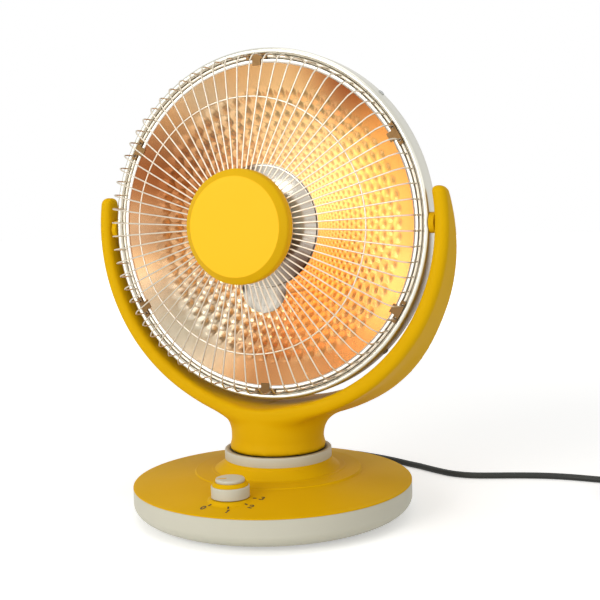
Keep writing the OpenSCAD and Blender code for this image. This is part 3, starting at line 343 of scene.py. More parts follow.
@dataclass(frozen=True)
class Finish:
    """A real surface: what it is made of and how it was made.

    Attributes:
        name: common name and process. colour: sRGB hex. shade: second colour of its slow
        variation. metallic, roughness, ior: as measured for such a surface. grain_mm: size
        of the surface's texture. relief_mm: its depth. gloss: specular level. patch_mm: size
        of the slow variation. rough_spread: how far roughness varies.
    """

    name: str
    colour: str
    shade: str
    metallic: float = 0.0
    roughness: float = 0.4
    ior: float = 1.5
    grain_mm: float = 0.6
    relief_mm: float = 0.01
    gloss: float = 0.5
    patch_mm: float = 60.0
    rough_spread: float = 0.06

    def material(self) -> bpy.types.Material:
        """The finish as a material, made once."""
        found = bpy.data.materials.get(self.name)
        if found:
            return found
        mat = emptied(bpy.data.materials.new(self.name))
        self.nodes(mat)
        return mat

    def base(self, mat: bpy.types.Material) -> tuple:
        """Colour, roughness and normal sockets shared by every finish."""
        at = add(mat, "ShaderNodeTexCoord").outputs["Object"]
        patch = add(mat, "ShaderNodeTexNoise", {"Vector": at}, Scale=1000 / self.patch_mm,
                    Detail=3.0).outputs["Fac"]
        grain = add(mat, "ShaderNodeTexNoise", {"Vector": at}, Scale=1000 / self.grain_mm,
                    Detail=2.0).outputs["Fac"]
        colour = add(mat, "ShaderNodeMix", {"Factor": patch, "A": linear(self.colour),
                                            "B": linear(self.shade)}, data_type="RGBA")
        rough = add(mat, "ShaderNodeMapRange", {"Value": patch}, From_Min=0.3, From_Max=0.7,
                    To_Min=self.roughness - self.rough_spread / 2,
                    To_Max=self.roughness + self.rough_spread / 2)
        bump = add(mat, "ShaderNodeBump", {"Height": grain}, Strength=0.5,
                   Distance=self.relief_mm * MM)
        return colour.outputs["Result"], rough.outputs["Result"], bump.outputs["Normal"], at

    def nodes(self, mat: bpy.types.Material) -> None:
        """Builds the shader of a plain finish."""
        colour, rough, normal, _ = self.base(mat)
        self.shader(mat, colour, rough, normal)

    def shader(self, mat: bpy.types.Material, colour: object, rough: object, normal: object,
               **more: object) -> bpy.types.Node:
        """The surface shader and the material's output."""
        bsdf = add(mat, "ShaderNodeBsdfPrincipled", {"Base Color": colour, "Roughness": rough,
                   "Normal": normal}, Metallic=self.metallic, **more)
        if self.metallic < 0.5:
            bsdf.inputs["IOR"].default_value = self.ior
            bsdf.inputs["Specular IOR Level"].default_value = self.gloss
        add(mat, "ShaderNodeOutputMaterial", {"Surface": bsdf.outputs["BSDF"]})
        return bsdf


@dataclass(frozen=True)
class PaintedReflectionMetal(Finish):
    """Polished metal with painted reflections and shade: places on the head's face where the colour
    changes.

    Attributes:
        painted_reflections: x, z and reach in mm and the colour of each painted patch, in Object
            coordinates.
    """

    painted_reflections: tuple = ()

    @staticmethod
    def spot(mat: bpy.types.Material, flat: object, x: float, z: float, reach: float) -> object:
        """Smooth share from 1 at (x, z) to 0 at reach, by distance across the head's face."""
        away = add(mat, "ShaderNodeVectorMath", {0: flat, 1: (x * MM, 0, z * MM)},
                   operation="DISTANCE")
        share = add(mat, "ShaderNodeMapRange", {"Value": away.outputs["Value"]}, From_Min=0.0,
                    From_Max=reach * MM, To_Min=1.0, To_Max=0.0, interpolation_type="SMOOTHSTEP")
        return share.outputs["Result"]

    def with_painted_reflections(self, mat: bpy.types.Material, colour: object, at: object) -> tuple:
        """Colour after all painted reflections and shade, and the coordinates with Y left out."""
        flat = add(mat, "ShaderNodeVectorMath", {0: at, 1: ACROSS}, operation="MULTIPLY").outputs[0]
        # Each place mixes a patch of painted reflection and shade into the colour.
        for x, z, reach, code in self.painted_reflections:
            share = self.spot(mat, flat, x, z, reach)
            colour = add(mat, "ShaderNodeMix", {"Factor": share, "A": colour, "B": linear(code)},
                         data_type="RGBA").outputs["Result"]
        return colour, flat

    def nodes(self, mat: bpy.types.Material) -> None:
        """Metal shader with the painted reflections and shade in its colour."""
        colour, rough, normal, at = self.base(mat)
        self.shader(mat, self.with_painted_reflections(mat, colour, at)[0], rough, normal)


@dataclass(frozen=True)
class Glow(PaintedReflectionMetal):
    """Gold-coloured reflector in the element's light, which is painted on as emission.

    The light that reaches a point is the sum of smooth spots across the dish, times
    floor + gain (n . l)^power, where n is the surface's normal and l points to the element, so
    each dimple is bright on the side that faces it, from any view.

    Attributes:
        lights: x, z and reach in mm, colour and strength of each painted glow spot. element: its
            place.
        floor, gain, power: how the light grows with the facing.
    """

    lights: tuple = ()
    element: tuple = (0.0, 30.0, HEAD_Z)
    floor: float = 0.35
    gain: float = 1.5
    power: float = 3.0

    def facing(self, mat: bpy.types.Material, at: object) -> object:
        """floor + gain (n . l)^power in Object coordinates."""
        to = add(mat, "ShaderNodeVectorMath", {0: tuple(c * MM for c in self.element), 1: at},
                 operation="SUBTRACT")
        to = add(mat, "ShaderNodeVectorMath", {0: to.outputs[0]}, operation="NORMALIZE").outputs[0]
        n = add(mat, "ShaderNodeTexCoord").outputs["Normal"]
        out = add(mat, "ShaderNodeVectorMath", {0: to, 1: n},
                  operation="DOT_PRODUCT").outputs["Value"]
        for operation, values in (("MAXIMUM", {1: 0.0}), ("POWER", {1: self.power}),
                                  ("MULTIPLY_ADD", {1: self.gain, 2: self.floor})):
            out = add(mat, "ShaderNodeMath", {0: out, **values}, operation=operation).outputs[0]
        return out

    def nodes(self, mat: bpy.types.Material) -> None:
        """Metal with painted reflections and shade, plus the element's light painted on as
        emission.
        """
        colour, rough, normal, at = self.base(mat)
        colour, flat = self.with_painted_reflections(mat, colour, at)
        bsdf = self.shader(mat, colour, rough, normal)
        total = (0.0, 0.0, 0.0)
        for x, z, reach, code, strength in self.lights:
            light = tuple(c * strength for c in linear(code)[:3])
            total = add(mat, "ShaderNodeVectorMath", {0: self.spot(mat, flat, x, z, reach),
                        1: light, 2: total}, operation="MULTIPLY_ADD").outputs[0]
        # Painted glow: the element's light on the dish, as emission.
        mat.node_tree.links.new(total, bsdf.inputs["Emission Color"])
        mat.node_tree.links.new(self.facing(mat, at), bsdf.inputs["Emission Strength"])


@dataclass(frozen=True)
class Hot(Finish):
    """Resistance wire at working heat: its own orange light over a dark oxide skin."""

    strength: float = 3.0

    def nodes(self, mat: bpy.types.Material) -> None:
        """Oxide shader with even emission."""
        colour, rough, normal, _ = self.base(mat)
        self.shader(mat, colour, rough, normal, Emission_Color=linear("#FF8A2A"),
                    Emission_Strength=self.strength)


@dataclass(frozen=True)
class Rimmed(Finish):
    """Plated ring whose rolled rim is coloured darker than its flange, by distance from the head's
    axis: painted shade on the rim.

    Attributes:
        rim: the rim's colour, darker by painted shade. rim_r: radius in mm where it starts.
    """

    rim: str = "#C0BDB0"
    rim_r: float = 154.0

    def nodes(self, mat: bpy.types.Material) -> None:
        """Metal shader with two colours, the rim's one painted shade."""
        colour, rough, normal, at = self.base(mat)
        flat = add(mat, "ShaderNodeVectorMath", {0: at, 1: ACROSS}, operation="MULTIPLY").outputs[0]
        away = add(mat, "ShaderNodeVectorMath", {0: flat, 1: (0, 0, HEAD_Z * MM)},
                   operation="DISTANCE")
        # Painted shade: share of the darker rim colour, from rim_r outwards.
        share = add(mat, "ShaderNodeMapRange", {"Value": away.outputs["Value"]},
                    From_Min=(self.rim_r - 0.5) * MM, From_Max=(self.rim_r + 1.5) * MM)
        mix = add(mat, "ShaderNodeMix", {"Factor": share.outputs["Result"], "A": colour,
                                         "B": linear(self.rim)}, data_type="RGBA")
        self.shader(mat, mix.outputs["Result"], rough, normal)


@dataclass(frozen=True)
class Faced(Finish):
    """Plastic cap whose flat face is coloured lighter than its rim, by Object Y: painted light on
    the face.

    Attributes:
        face: the face's colour, lighter by painted light. face_y: Y in mm behind which the rim's
            colour starts.
    """

    face: str = "#F6C022"
    face_y: float = -61.7

    def nodes(self, mat: bpy.types.Material) -> None:
        """Plain shader with two colours, the face's one painted light."""
        colour, rough, normal, at = self.base(mat)
        y = add(mat, "ShaderNodeSeparateXYZ", {0: at}).outputs["Y"]
        # Painted light: share of the lighter face colour, in front of face_y.
        share = add(mat, "ShaderNodeMapRange", {"Value": y}, From_Min=(self.face_y - 0.2) * MM,
                    From_Max=(self.face_y + 0.2) * MM, To_Min=1.0, To_Max=0.0)
        mix = add(mat, "ShaderNodeMix", {"Factor": share.outputs["Result"], "A": colour,
                                         "B": linear(self.face)}, data_type="RGBA")
        self.shader(mat, mix.outputs["Result"], rough, normal)


# Pressed and plated: soft wide highlights, with painted shade darkening the rolled edge.
BRIGHT = Rimmed("bright nickel-plated steel", "#E6E4DC", "#DDDBD2", metallic=1.0,
                roughness=0.34, rough_spread=0.05, rim="#CECCC0", rim_r=154.0)
# Drawn and plated: a thin bright line along each wire.
WIRE = Finish("nickel-plated steel wire", "#D6CDBC", "#CABFAE", metallic=1.0, roughness=0.36)
# Pressed and left bare: dark brown with a dull sheen.
BRONZE = Finish("pressed bronze", "#7A5E3C", "#6A5032", metallic=1.0, roughness=0.5)
# Spun and polished: nearly a mirror, with painted reflection and shade as grey and dark brown
# patches round the element.
POLISHED = PaintedReflectionMetal("polished aluminium", "#D6D2C8", "#CCC8BE", metallic=1.0, roughness=0.16,
                  rough_spread=0.04, painted_reflections=(
                      # Painted reflection and shade: grey over the tongue, dark brown patches round
                      # the hub.
                      (0, 205, 62, "#AFAAA0"), (42, 228, 44, "#5A3D2E"),
                      (24, 203, 16, "#5A4436"), (-21, 210, 7, "#3A2E26"),
                      (-12, 322, 20, "#6E5542")))
# Pressed, fired and glazed: cream with small sharp highlights.
CERAMIC = Finish("glazed steatite ceramic", "#E6DFCC", "#DCD4BF", roughness=0.35, ior=1.6)
# Moulded cap: the face is painted lighter than the sloped rim, for the light that falls on it.
HUB = Faced("moulded yellow ABS, hub cap", "#DFAE06", "#D8A804", roughness=0.52, ior=1.4,
            gloss=0.16)
# Coiled and oxidised: a dark skin under its own orange light.
HOT = Hot("oxidised resistance wire, glowing", "#5A3A28", "#4A3022", roughness=0.6)
# Spun, dimpled and anodised: warm gold with painted reflections; each dimple bright on the side
# towards the element.
GOLD = Glow(
    "gold-coloured anodised aluminium", "#EDBE86", "#E6B47A", metallic=1.0, roughness=0.25,
    # Painted reflections: copper and brown patches on the left and upper rim, pale grey-beige at
    # the lower left.
    painted_reflections=((-122, 320, 92, "#A06038"), (88, 388, 60, "#A85E2C"), (-96, 170, 100, "#DFD6C0"),
           (-138, 262, 46, "#A58566"), (45, 200, 66, "#E4AC70"), (-5, 138, 60, "#CF9460"),
           (-62, 391, 45, "#DDC4A0")),
    # Painted glow: spots of the element's light, as emission.
    lights=((24, 338, 100, "#FFF0B0", 0.6), (46, 285, 95, "#FFDA70", 0.4),
            (32, 204, 66, "#FF8C1E", 0.7), (134, 245, 80, "#FFC87C", 0.98),
            (96, 305, 88, "#FFDC78", 0.72), (-85, 262, 95, "#F08A3E", 0.34),
            (20, 150, 80, "#FFB070", 0.2), (100, 190, 80, "#FFC078", 0.42),
            (-50, 365, 90, "#FFE6C4", 0.12)))
# Moulded, spark-eroded texture: plain colour with a broad weak sheen.
WHITE = Finish("moulded white ABS", "#CBC8B7", "#C4C1B0", roughness=0.5, ior=1.4,
               relief_mm=0.012, gloss=0.3)
YELLOW = Finish("moulded yellow ABS", "#DCAB02", "#D6A601", roughness=0.55, ior=1.4,
                relief_mm=0.012, gloss=0.08)
# Moulded or extruded: near black, matt, with a fine grain.
RUBBER = Finish("moulded black rubber", "#23231F", "#1C1D1A", roughness=0.62, grain_mm=0.8,
                relief_mm=0.02)
PVC = Finish("extruded black PVC", "#1B1E17", "#171914", roughness=0.5, grain_mm=1.5)
BLACK = Finish("moulded black phenolic", "#26241F", "#1F1E1B", roughness=0.5)
# Pad-printed: flat brown, no sheen of its own.
PRINT = Finish("printed brown ink", "#4A3410", "#412D0C", roughness=0.55)
# Moulded and undyed: milky off-white.
NYLON = Finish("moulded natural nylon", "#E4E0D2", "#DCD7C6", roughness=0.5)
# Sand-cast under paint: grey with a coarse grain.
CAST = Finish("cast iron, painted grey", "#6B6C6C", "#5C5D5E", roughness=0.6, grain_mm=1.2,
              relief_mm=0.06)
# Turned, drawn or pressed small parts: clean metal in its own colour.
NICKEL = Finish("nickel-plated brass", "#C9C6BC", "#BDB9AE", metallic=1.0, roughness=0.22)
BRASS = Finish("turned brass", "#C9A45A", "#B8924A", metallic=1.0, roughness=0.3)
ZINC = Finish("zinc-plated steel", "#B9BBB8", "#A8AAA9", metallic=1.0, roughness=0.34)
STAINLESS = Finish("stainless spring wire", "#C4C5C3", "#B5B7B7", metallic=1.0, roughness=0.25)


# ---------------------------------------------------------------- Dressing


def dress(obj: bpy.types.Object, body: str | None, slot: str, finish: Finish,
          *nodes: str) -> bpy.types.Object:
    """Gives a new piece its finish, its body and the CAD nodes that it stands for.

    Args:
        obj: the piece. body: the body it rides on, or None where it bends between two.
        slot: the record's material slot; not used. finish: its surface. nodes: CAD nodes it
            replaces.

    Returns:
        The same object.
    """
    obj.data.materials.clear()
    obj.data.materials.append(finish.material())
    if body:
        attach(obj, body)
    if nodes:
        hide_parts(*nodes)
    count = len(obj.data.polygons)
    log.info("%s: %d faces on %s, for %s", obj.name, count, body, nodes or "itself")
    return obj


def paint(nodes: dict, finishes: dict) -> None:
    """Gives CAD nodes that stay as they are their finish.

    Args:
        nodes: the CAD nodes by name. finishes: for each finish, the nodes' names, spaced.
    """
    for finish, names in finishes.items():
        for name in names.split():
            slots = nodes[name].material_slots
            if not slots:
                nodes[name].data.materials.append(finish.material())
            for s in slots:
                s.material = finish.material()
            log.info("%s: CAD node, %s", name, finish.name)


def screws(name: str, places: list) -> bpy.types.Object:
    """Pan heads with a cross recess, all in one mesh.

    A head's height at distance r from its axis is h sqrt(1 - 0.75 (r / R)^2), and 0.45 of
    that inside the cross |x| < 0.16 R or |y| < 0.16 R, out to 0.62 R.

    Args:
        name: the object's name. places: for each, centre in mm, direction, radius, height.

    Returns:
        The object.
    """
    a = (np.arange(48) + 0.5) * TAU / 48
    u = np.array([0.02, 0.1, 0.14, 0.19, 0.26, 0.36, 0.48, 0.58, 0.62, 0.66, 0.78, 0.9,
                  0.97, 1.0, 1.0])
    x, y = u[:, None] * np.cos(a), u[:, None] * np.sin(a)
    dome = np.sqrt(1 - 0.75 * np.minimum(u, 0.97) ** 2)[:, None] + 0 * x
    cross = (np.minimum(np.abs(x), np.abs(y)) < 0.16) & (u < 0.63)[:, None]
    h = np.where(cross, dome * 0.45, dome)
    h[-1] = -0.3
    made = []
    for centre, direction, radius, height in places:
        d = np.array(direction, float) / np.linalg.norm(direction)
        s = np.cross(d, [0, 0, 1.0] if abs(d[2]) < 0.9 else [1.0, 0, 0])
        s /= np.linalg.norm(s)
        t = np.cross(d, s)
        p = np.array(centre) + radius * (x[..., None] * s + y[..., None] * t)
        made.append(((p + height * h[..., None] * d).reshape(-1, 3), capped(len(u), 48)))
    return build(name, *merged(made))


# ---------------------------------------------------------------- Studio


@dataclass
class Studio:
    """Camera at the photograph's viewpoint, three soft lamps and a pale floor."""

    eye: tuple = (419.83, -802.15, 269.76)
    target: tuple = (26.64, 12.0, 197.95)
    roll: float = -1.37
    lens: float = 58.67
    floor_size: float = 30.0
    aim: tuple = (0.0, 0.0, 0.22)
    lamp_list: tuple = (("key", (-0.65, -1.85, 0.8), 1.1, 21), ("fill", (1.9, -1.2, 0.6), 1.5, 9),
                        ("top", (0.0, -0.3, 2.1), 1.2, 7))

    def camera(self) -> None:
        """The camera: aimed from eye to target, then rolled about its own axis."""
        data = bpy.data.cameras.new("view")
        data.lens, data.sensor_width, data.clip_end = self.lens, 36.0, 60.0
        cam = bpy.data.objects.new("view", data)
        bpy.context.collection.objects.link(cam)
        aim = (Vector(self.target) - Vector(self.eye)).to_track_quat("-Z", "Y").to_matrix().to_4x4()
        cam.matrix_world = (Matrix.Translation(Vector(self.eye) * MM) @ aim
                            @ Matrix.Rotation(math.radians(self.roll), 4, "Z"))
        bpy.context.scene.camera = cam

    def lamps(self) -> None:
        """Square lamps: key from the upper left front, fill from the right, one from above.

        Each has its name, its place in metres, its size and its power, and is turned to aim.
        """
        for name, at, size, power in self.lamp_list:
            data = bpy.data.lights.new(name, "AREA")
            data.size, data.energy = size, power
            obj = bpy.data.objects.new(name, data)
            obj.location = at
            turn = (Vector(self.aim) - Vector(at)).to_track_quat("-Z", "Y")
            obj.rotation_euler = turn.to_euler()
            bpy.context.collection.objects.link(obj)

    def world(self) -> None:
        """White world, seen plainly by the camera and in gloss and glass."""
        scene = bpy.context.scene
        scene.view_settings.view_transform = "Standard"
        world = emptied(bpy.data.worlds.new("studio"))
        path = add(world, "ShaderNodeLightPath").outputs
        seen = add(world, "ShaderNodeMath", {0: path["Is Camera Ray"], 1: path["Is Glossy Ray"]},
                   operation="MAXIMUM").outputs[0]
        seen = add(world, "ShaderNodeMath", {0: seen, 1: path["Is Transmission Ray"]},
                   operation="MAXIMUM").outputs[0]
        strength = add(world, "ShaderNodeMapRange", {"Value": seen}, To_Min=0.45, To_Max=1.0)
        back = add(world, "ShaderNodeBackground", {"Strength": strength.outputs["Result"]},
                   Color=linear("#FFFFFF"))
        add(world, "ShaderNodeOutputWorld", {"Surface": back.outputs["Background"]})
        scene.world = world

    def floor(self) -> None:
        """Plain pale floor whose own colour goes to white away from the object."""
        h = self.floor_size / 2 / MM
        corners = np.array([[-h, -h, -0.3], [h, -h, -0.3], [h, h, -0.3], [-h, h, -0.3]])
        obj = build("floor", corners, [[0, 1, 2, 3]], smooth=False, tidy=False)
        mat = emptied(bpy.data.materials.new("pale matt floor"))
        path = add(mat, "ShaderNodeLightPath").outputs
        seen = add(mat, "ShaderNodeMath", {0: path["Is Camera Ray"], 1: path["Is Glossy Ray"]},
                   operation="MAXIMUM").outputs[0]
        matt = add(mat, "ShaderNodeBsdfDiffuse", Color=linear("#F4F4F2"))
        at = add(mat, "ShaderNodeTexCoord").outputs["Object"]
        away = add(mat, "ShaderNodeVectorMath", {0: at}, operation="LENGTH").outputs["Value"]
        far = add(mat, "ShaderNodeMapRange", {"Value": away}, From_Min=0.3, From_Max=2.5,
                  To_Min=0.4, To_Max=0.9, interpolation_type="SMOOTHSTEP").outputs["Result"]
        glow = add(mat, "ShaderNodeEmission", {"Strength": far}, Color=linear("#FFFFFF"))
        both = add(mat, "ShaderNodeAddShader", {0: matt.outputs[0], 1: glow.outputs[0]})
        mix = add(mat, "ShaderNodeMixShader", {0: seen, 1: matt.outputs[0], 2: both.outputs[0]})
        add(mat, "ShaderNodeOutputMaterial", {"Surface": mix.outputs[0]})
        obj.data.materials.append(mat)

    def build(self) -> None:
        """Sets up the whole studio."""
        self.camera()
        self.lamps()
        self.world()
        self.floor()


# ---------------------------------------------------------------- Mains lead


@dataclass
class MainsLead:
    """Round black lead from the strain relief over the floor into its coil, with its plug.

    Sizes in millimetres; the route's points are the CAD cord's own.
    """

    radius: float = 3.2
    sides: int = 16
    exit_at: tuple = (0.0, 164.0, 17.0)
    relief_from: float = 131.0
    coil_centre: tuple = (324.0, 161.0)
    coil_r: float = 42.0
    coil_pitch: float = 6.5
    coil_turns: float = 5.25
    coil_layer: float = 6.6
    route: list = field(default_factory=lambda: [
        (0, 164, 17), (0.6, 172, 16.2), (5, 181, 13.6), (13, 191, 10.6), (24, 198.5, 7.6),
        (37, 202, 5.4), (51, 201.5, 3.9), (65, 198, 3), (79, 192.5, 3), (92, 186, 3),
        (106, 179.5, 3), (119, 174.8, 3), (131, 173.4, 3), (142, 174.4, 3), (153, 177.6, 3),
        (166, 182.6, 3), (182, 189, 3), (199, 195, 3), (217, 199.8, 3), (236, 202.4, 3),
        (256, 203, 3), (290, 203, 3), (324, 203, 3)])

    def path(self) -> np.ndarray:
        """Centre line: a curve through the route, then the coil.

        The coil's radius at turn t is coil_r less a pitch for each turn away from either end,
        so it winds in on the floor, climbs one layer in the half turn about its middle, and
        winds out on top of itself.

        Returns:
            An (n, 3) array in mm.
        """
        mid = self.coil_turns / 2
        t = np.linspace(0, self.coil_turns, int(40 * self.coil_turns) + 1)
        r = self.coil_r - self.coil_pitch * (mid - np.abs(t - mid))
        a = np.radians(90 - 360 * t)
        z = self.radius + self.coil_layer * smooth_step((t - mid + 0.25) / 0.5)
        coil = np.column_stack([self.coil_centre[0] + r * np.cos(a),
                                self.coil_centre[1] + r * np.sin(a), z])
        end = coil[-1] - np.outer([0.5, 1.0], [0, 4 * self.radius, 0])
        free = spline(np.array(self.route, float), 6)
        return np.vstack([free[:-1], coil, end])

    def relief(self) -> bpy.types.Object:
        """Ribbed tapering sleeve: a flange, then six ribs between thin webs."""
        y0, y1, n = self.relief_from + 3.5, self.exit_at[1], 6
        step = (y1 - y0 - 3) / n
        ribs = []
        for i in range(n):
            r, y = 6.2 - 2.0 * i / n, y0 + i * step
            ribs += [(r - 1.3, y), (r - 1.3, y + 1.5), (r - 0.3, y + 1.5), (r, y + 1.9),
                     (r - 0.1, y + step - 0.4), (r - 0.4, y + step)]
        profile = outline((0, self.relief_from - 2), (7.1, self.relief_from - 2),
                          arc(6.3, self.relief_from + 1.7, 0.8, 0, 90, 3),
                          ribs, (3.9, y1 - 2), (3.6, y1), (0, y1))
        return revolve("strain_relief", profile, Axis.HEAD, (self.exit_at[0], self.exit_at[2]), 64)

    def plug(self, tip: np.ndarray) -> bpy.types.Object:
        """Moulded two-pin plug: rounded oblong sections carried along -Y from the lead's end.

        A section at distance s has half width w(s) and half height h(s), and its points are
        (w |cos a|^(2/n), h |sin a|^(2/n)) with their signs, n going from 2 to 4.

        Args:
            tip: the lead's end, in mm.

        Returns:
            The plug as one closed mesh.
        """
        s = np.array([0, 2, 2.1, 4, 4.1, 6, 6.1, 8, 8.1, 10, 10.1, 12, 12.1, 14, 17, 20, 24, 29,
                      34, 38, 42, 46, 50, 52.4, 53.4, 53.9, 54])
        w = np.array([4, 4.2, 4.9, 5.1, 4.4, 4.6, 5.3, 5.5, 4.8, 5.0, 5.7, 5.9, 5.2, 5.8, 6.6,
                      7.8, 10.2, 13.2, 15, 15.7, 16, 16.3, 16.9, 17, 16.7, 16.0, 15.4])
        h = np.array([4, 4.2, 4.9, 5.1, 4.4, 4.6, 5.3, 5.5, 4.8, 5.0, 5.7, 5.9, 5.2, 5.7, 6.2,
                      6.8, 7.4, 7.9, 8.2, 8.1, 8.0, 8.3, 8.8, 8.9, 8.6, 8.0, 7.4])
        s, w, h = s[:, None], w[:, None], h[:, None]
        n = 2 + 2 * smooth_step((s - 18) / 16)
        a = np.arange(48) * TAU / 48
        c, q = np.cos(a), np.sin(a)
        x = w * np.sign(c) * np.abs(c) ** (2 / n)
        z = h * np.sign(q) * np.abs(q) ** (2 / n)
        return stopped("plug", points(x, -s, z) + tip)

    def build(self, nodes: dict) -> None:
        path = self.path()
        lead = tube("mains_lead", path, self.radius, self.sides)
        dress(lead, "base", "black_rubber", PVC, "cord", "cord_coil")
        dress(self.relief(), "base", "black_rubber", RUBBER, "cord_gland")
        plug = dress(self.plug(path[-1]), "base", "black_rubber", RUBBER, "plug_body")
        paint(nodes, {NICKEL: "plug_pins"})
        length = float(np.linalg.norm(np.diff(path, axis=0), axis=1).sum()) * MM
        log.info("lead: %.3f m", length)


# ---------------------------------------------------------------- Base


@dataclass
class Base:
    """Round white tray under a yellow domed cover, with the collar and the dial marks.

    Sizes in millimetres. The cover's height over a point is the dome
    dome_z + rise (1 - (r / base_r)^1.8) about the base's centre, joined smoothly to a stepped
    plinth about the neck's axis, which flares up to the collar.
    """

    base_r: float = 130.0
    seam_z: float = 30.0
    dome_rise: float = 10.5
    foot_gap: float = 2.5
    flat_r: float = 108.0
    edge_h: float = 14.0
    wall: float = 2.5
    tray_wall: float = 2.6
    cover_steps: int = 600
    plinth_r: float = 79.0
    flare_r: float = 61.0
    collar_r: float = 50.6
    collar_z: float = 49.6
    collar_top: float = 58.2
    pad_r: float = 18.3
    pad_z: float = 37.155
    stroke: float = 1.4
    bearings: tuple = (-118, -66, -22, 18)
    figure: tuple = (27.2, 5.8)
    tick: tuple = (20.9, 3.4)

    def dome(self, r: np.ndarray) -> np.ndarray:
        """Height of the plain dome at a distance from the base's centre."""
        return self.seam_z + 1 + self.dome_rise * (1 - (r / self.base_r) ** 1.8)

    def tray(self) -> bpy.types.Object:
        """White tray: flat bottom, rounded lower edge, upright wall with a softened rim."""
        b, g, f, e, w = self.base_r, self.foot_gap, self.flat_r, self.edge_h, self.tray_wall
        t = np.radians(np.linspace(-90, 0, 25))
        edge = np.column_stack([f + (b - f) * np.cos(t), g + e + e * np.sin(t)])
        t = t[::-1]
        inner = np.column_stack([f + (b - f - w) * np.cos(t), g + e + (e - w) * np.sin(t)])
        profile = outline((0, g), (f * 0.5, g), edge, (b, self.seam_z - 1.0),
                          arc(b - 0.5, self.seam_z - 0.5, 0.5, 0, 90, 4),
                          (b - w, self.seam_z), inner, (f * 0.5, g + w), (0, g + w))
        return revolve("base_tray_shell", profile, Axis.UP, (0, 0), 240)

    def cover_height(self, x: np.ndarray, y: np.ndarray) -> np.ndarray:
        """Height of the cover's top at points: dome and plinth, with the knob's level pad."""
        r = np.hypot(x, y)
        q = np.hypot(x, y - NECK_Y)
        step = self.dome(self.plinth_r - NECK_Y) + 0.6
        rise = step + 0.9 * smooth_step((self.plinth_r - q) / 16)
        edge = smooth_step((self.plinth_r + 0.6 - q) / 1.4)
        dome = self.dome(r)
        z = dome + (np.maximum(rise, dome + 0.2) - dome) * edge
        u = np.clip((q - self.collar_r) / (self.flare_r - self.collar_r), 0, 1)
        flare = self.collar_z - (self.collar_z - step - 1.2) * np.sqrt(1 - (1 - u) ** 2)
        z = smooth_max(z, np.where(q < self.flare_r + 2, flare, -99), 1.2)
        d = np.hypot(x - KNOB_AT[0], y - KNOB_AT[1])
        return z + (self.pad_z - z) * smooth_step((self.pad_r + 1.4 - d) / 1.4)

    def cover(self) -> bpy.types.Object:
        """Yellow cover: rings from the collar out to the base's edge, closed underneath.

        A ring at parameter u and angle a is at q = q0 + (q1(a) - q0) u from the neck's axis,
        where q1(a) is the distance to the base's round edge, since the two aren't concentric.
        """
        steps, b, w, ny = self.cover_steps, self.base_r, self.wall, NECK_Y
        a = np.arange(steps) * TAU / steps
        edge = -ny * np.sin(a) + np.sqrt((b - 0.8) ** 2 - (ny * np.cos(a)) ** 2)
        q0, q1 = self.collar_r - 0.6, self.plinth_r + 1.2
        near = np.concatenate([np.linspace(q0, self.flare_r + 3, 26),
                               np.linspace(self.flare_r + 4, q1 - 3.2, 9),
                               np.linspace(q1 - 2.8, q1, 12)])
        u = np.linspace(0, 1, 80)[1:]
        far = q1 + (edge[None, :] - q1) * u[:, None]
        q = np.vstack([np.repeat(near[:, None], steps, axis=1), far])
        x, y = q * np.cos(a), ny + q * np.sin(a)
        top = points(x, y, self.cover_height(x, y))
        turn = np.arctan2(top[-1, :, 1], top[-1, :, 0])
        dr, dz = np.array([(0.3, 0.75), (0.05, 0.5), (0.0, 0.0), (0.2, -0.1), (3.2, -0.1)]).T
        rim_r = b - dr[:, None]
        rim = points(rim_r * np.cos(turn), rim_r * np.sin(turn),
                     self.seam_z + 0.95 + dz[:, None] - 0.8)
        q = q0 + (edge - 3.5 - q0) * np.array([0.97, 0.8, 0.6, 0.4, 0.2, 0.0])[:, None]
        x, y = q * np.cos(a), ny + q * np.sin(a)
        pts = np.concatenate([top, rim, points(x, y, self.dome(np.hypot(x, y)) - w)])
        pts[-1, :, 2] = pts[0, :, 2] - w
        return closed("base_cover_shell", pts)

    def collar(self) -> bpy.types.Object:
        """White ring between the cover and the turning neck, its edges softened."""
        r, z0, z1, i = self.collar_r, self.collar_z - 0.4, self.collar_top, self.collar_r - 4.6
        profile = outline((i, 39), (r - 1.1, 39), (r - 1.1, z0), (r - 0.3, z0), (r, z0 + 0.4),
                          arc(r - 0.9, z1 - 0.9, 0.9, 0, 90, 5), (i, z1))
        return revolve("collar", profile, Axis.UP, (0, NECK_Y), 192)

    def mark(self, line: list, angle: float, at_r: float, height: float) -> tuple:
        """One dial mark: a flat upright ribbon along a polyline, laid on the cover.

        Args:
            line: polyline in units of the mark's height. angle: bearing from the knob in
                degrees. at_r: distance from the knob's axis. height: the mark's height.

        Returns:
            The closed ribbon's points and faces.
        """
        half = self.stroke / 2
        p = (np.array(line, float) - [0.3, 0.5]) * height
        t = np.gradient(p, axis=0)
        t /= np.linalg.norm(t, axis=1)[:, None]
        n = np.column_stack([-t[:, 1], t[:, 0]]) * half
        p[0] -= t[0] * half * 0.6
        p[-1] += t[-1] * half * 0.6
        rows = np.stack([p - n, p + n], axis=1)
        c, s = bearing(angle)
        x, y = KNOB_AT[0] + rows[..., 0] + at_r * c, KNOB_AT[1] + rows[..., 1] + at_r * s
        z = self.cover_height(x, y)
        low, high = points(x, y, z - 0.3), points(x, y, z + 0.12)
        ring = np.stack([low[:, 0], low[:, 1], high[:, 1], high[:, 0]], axis=1)
        return ring.reshape(-1, 3), capped(len(p), 4)

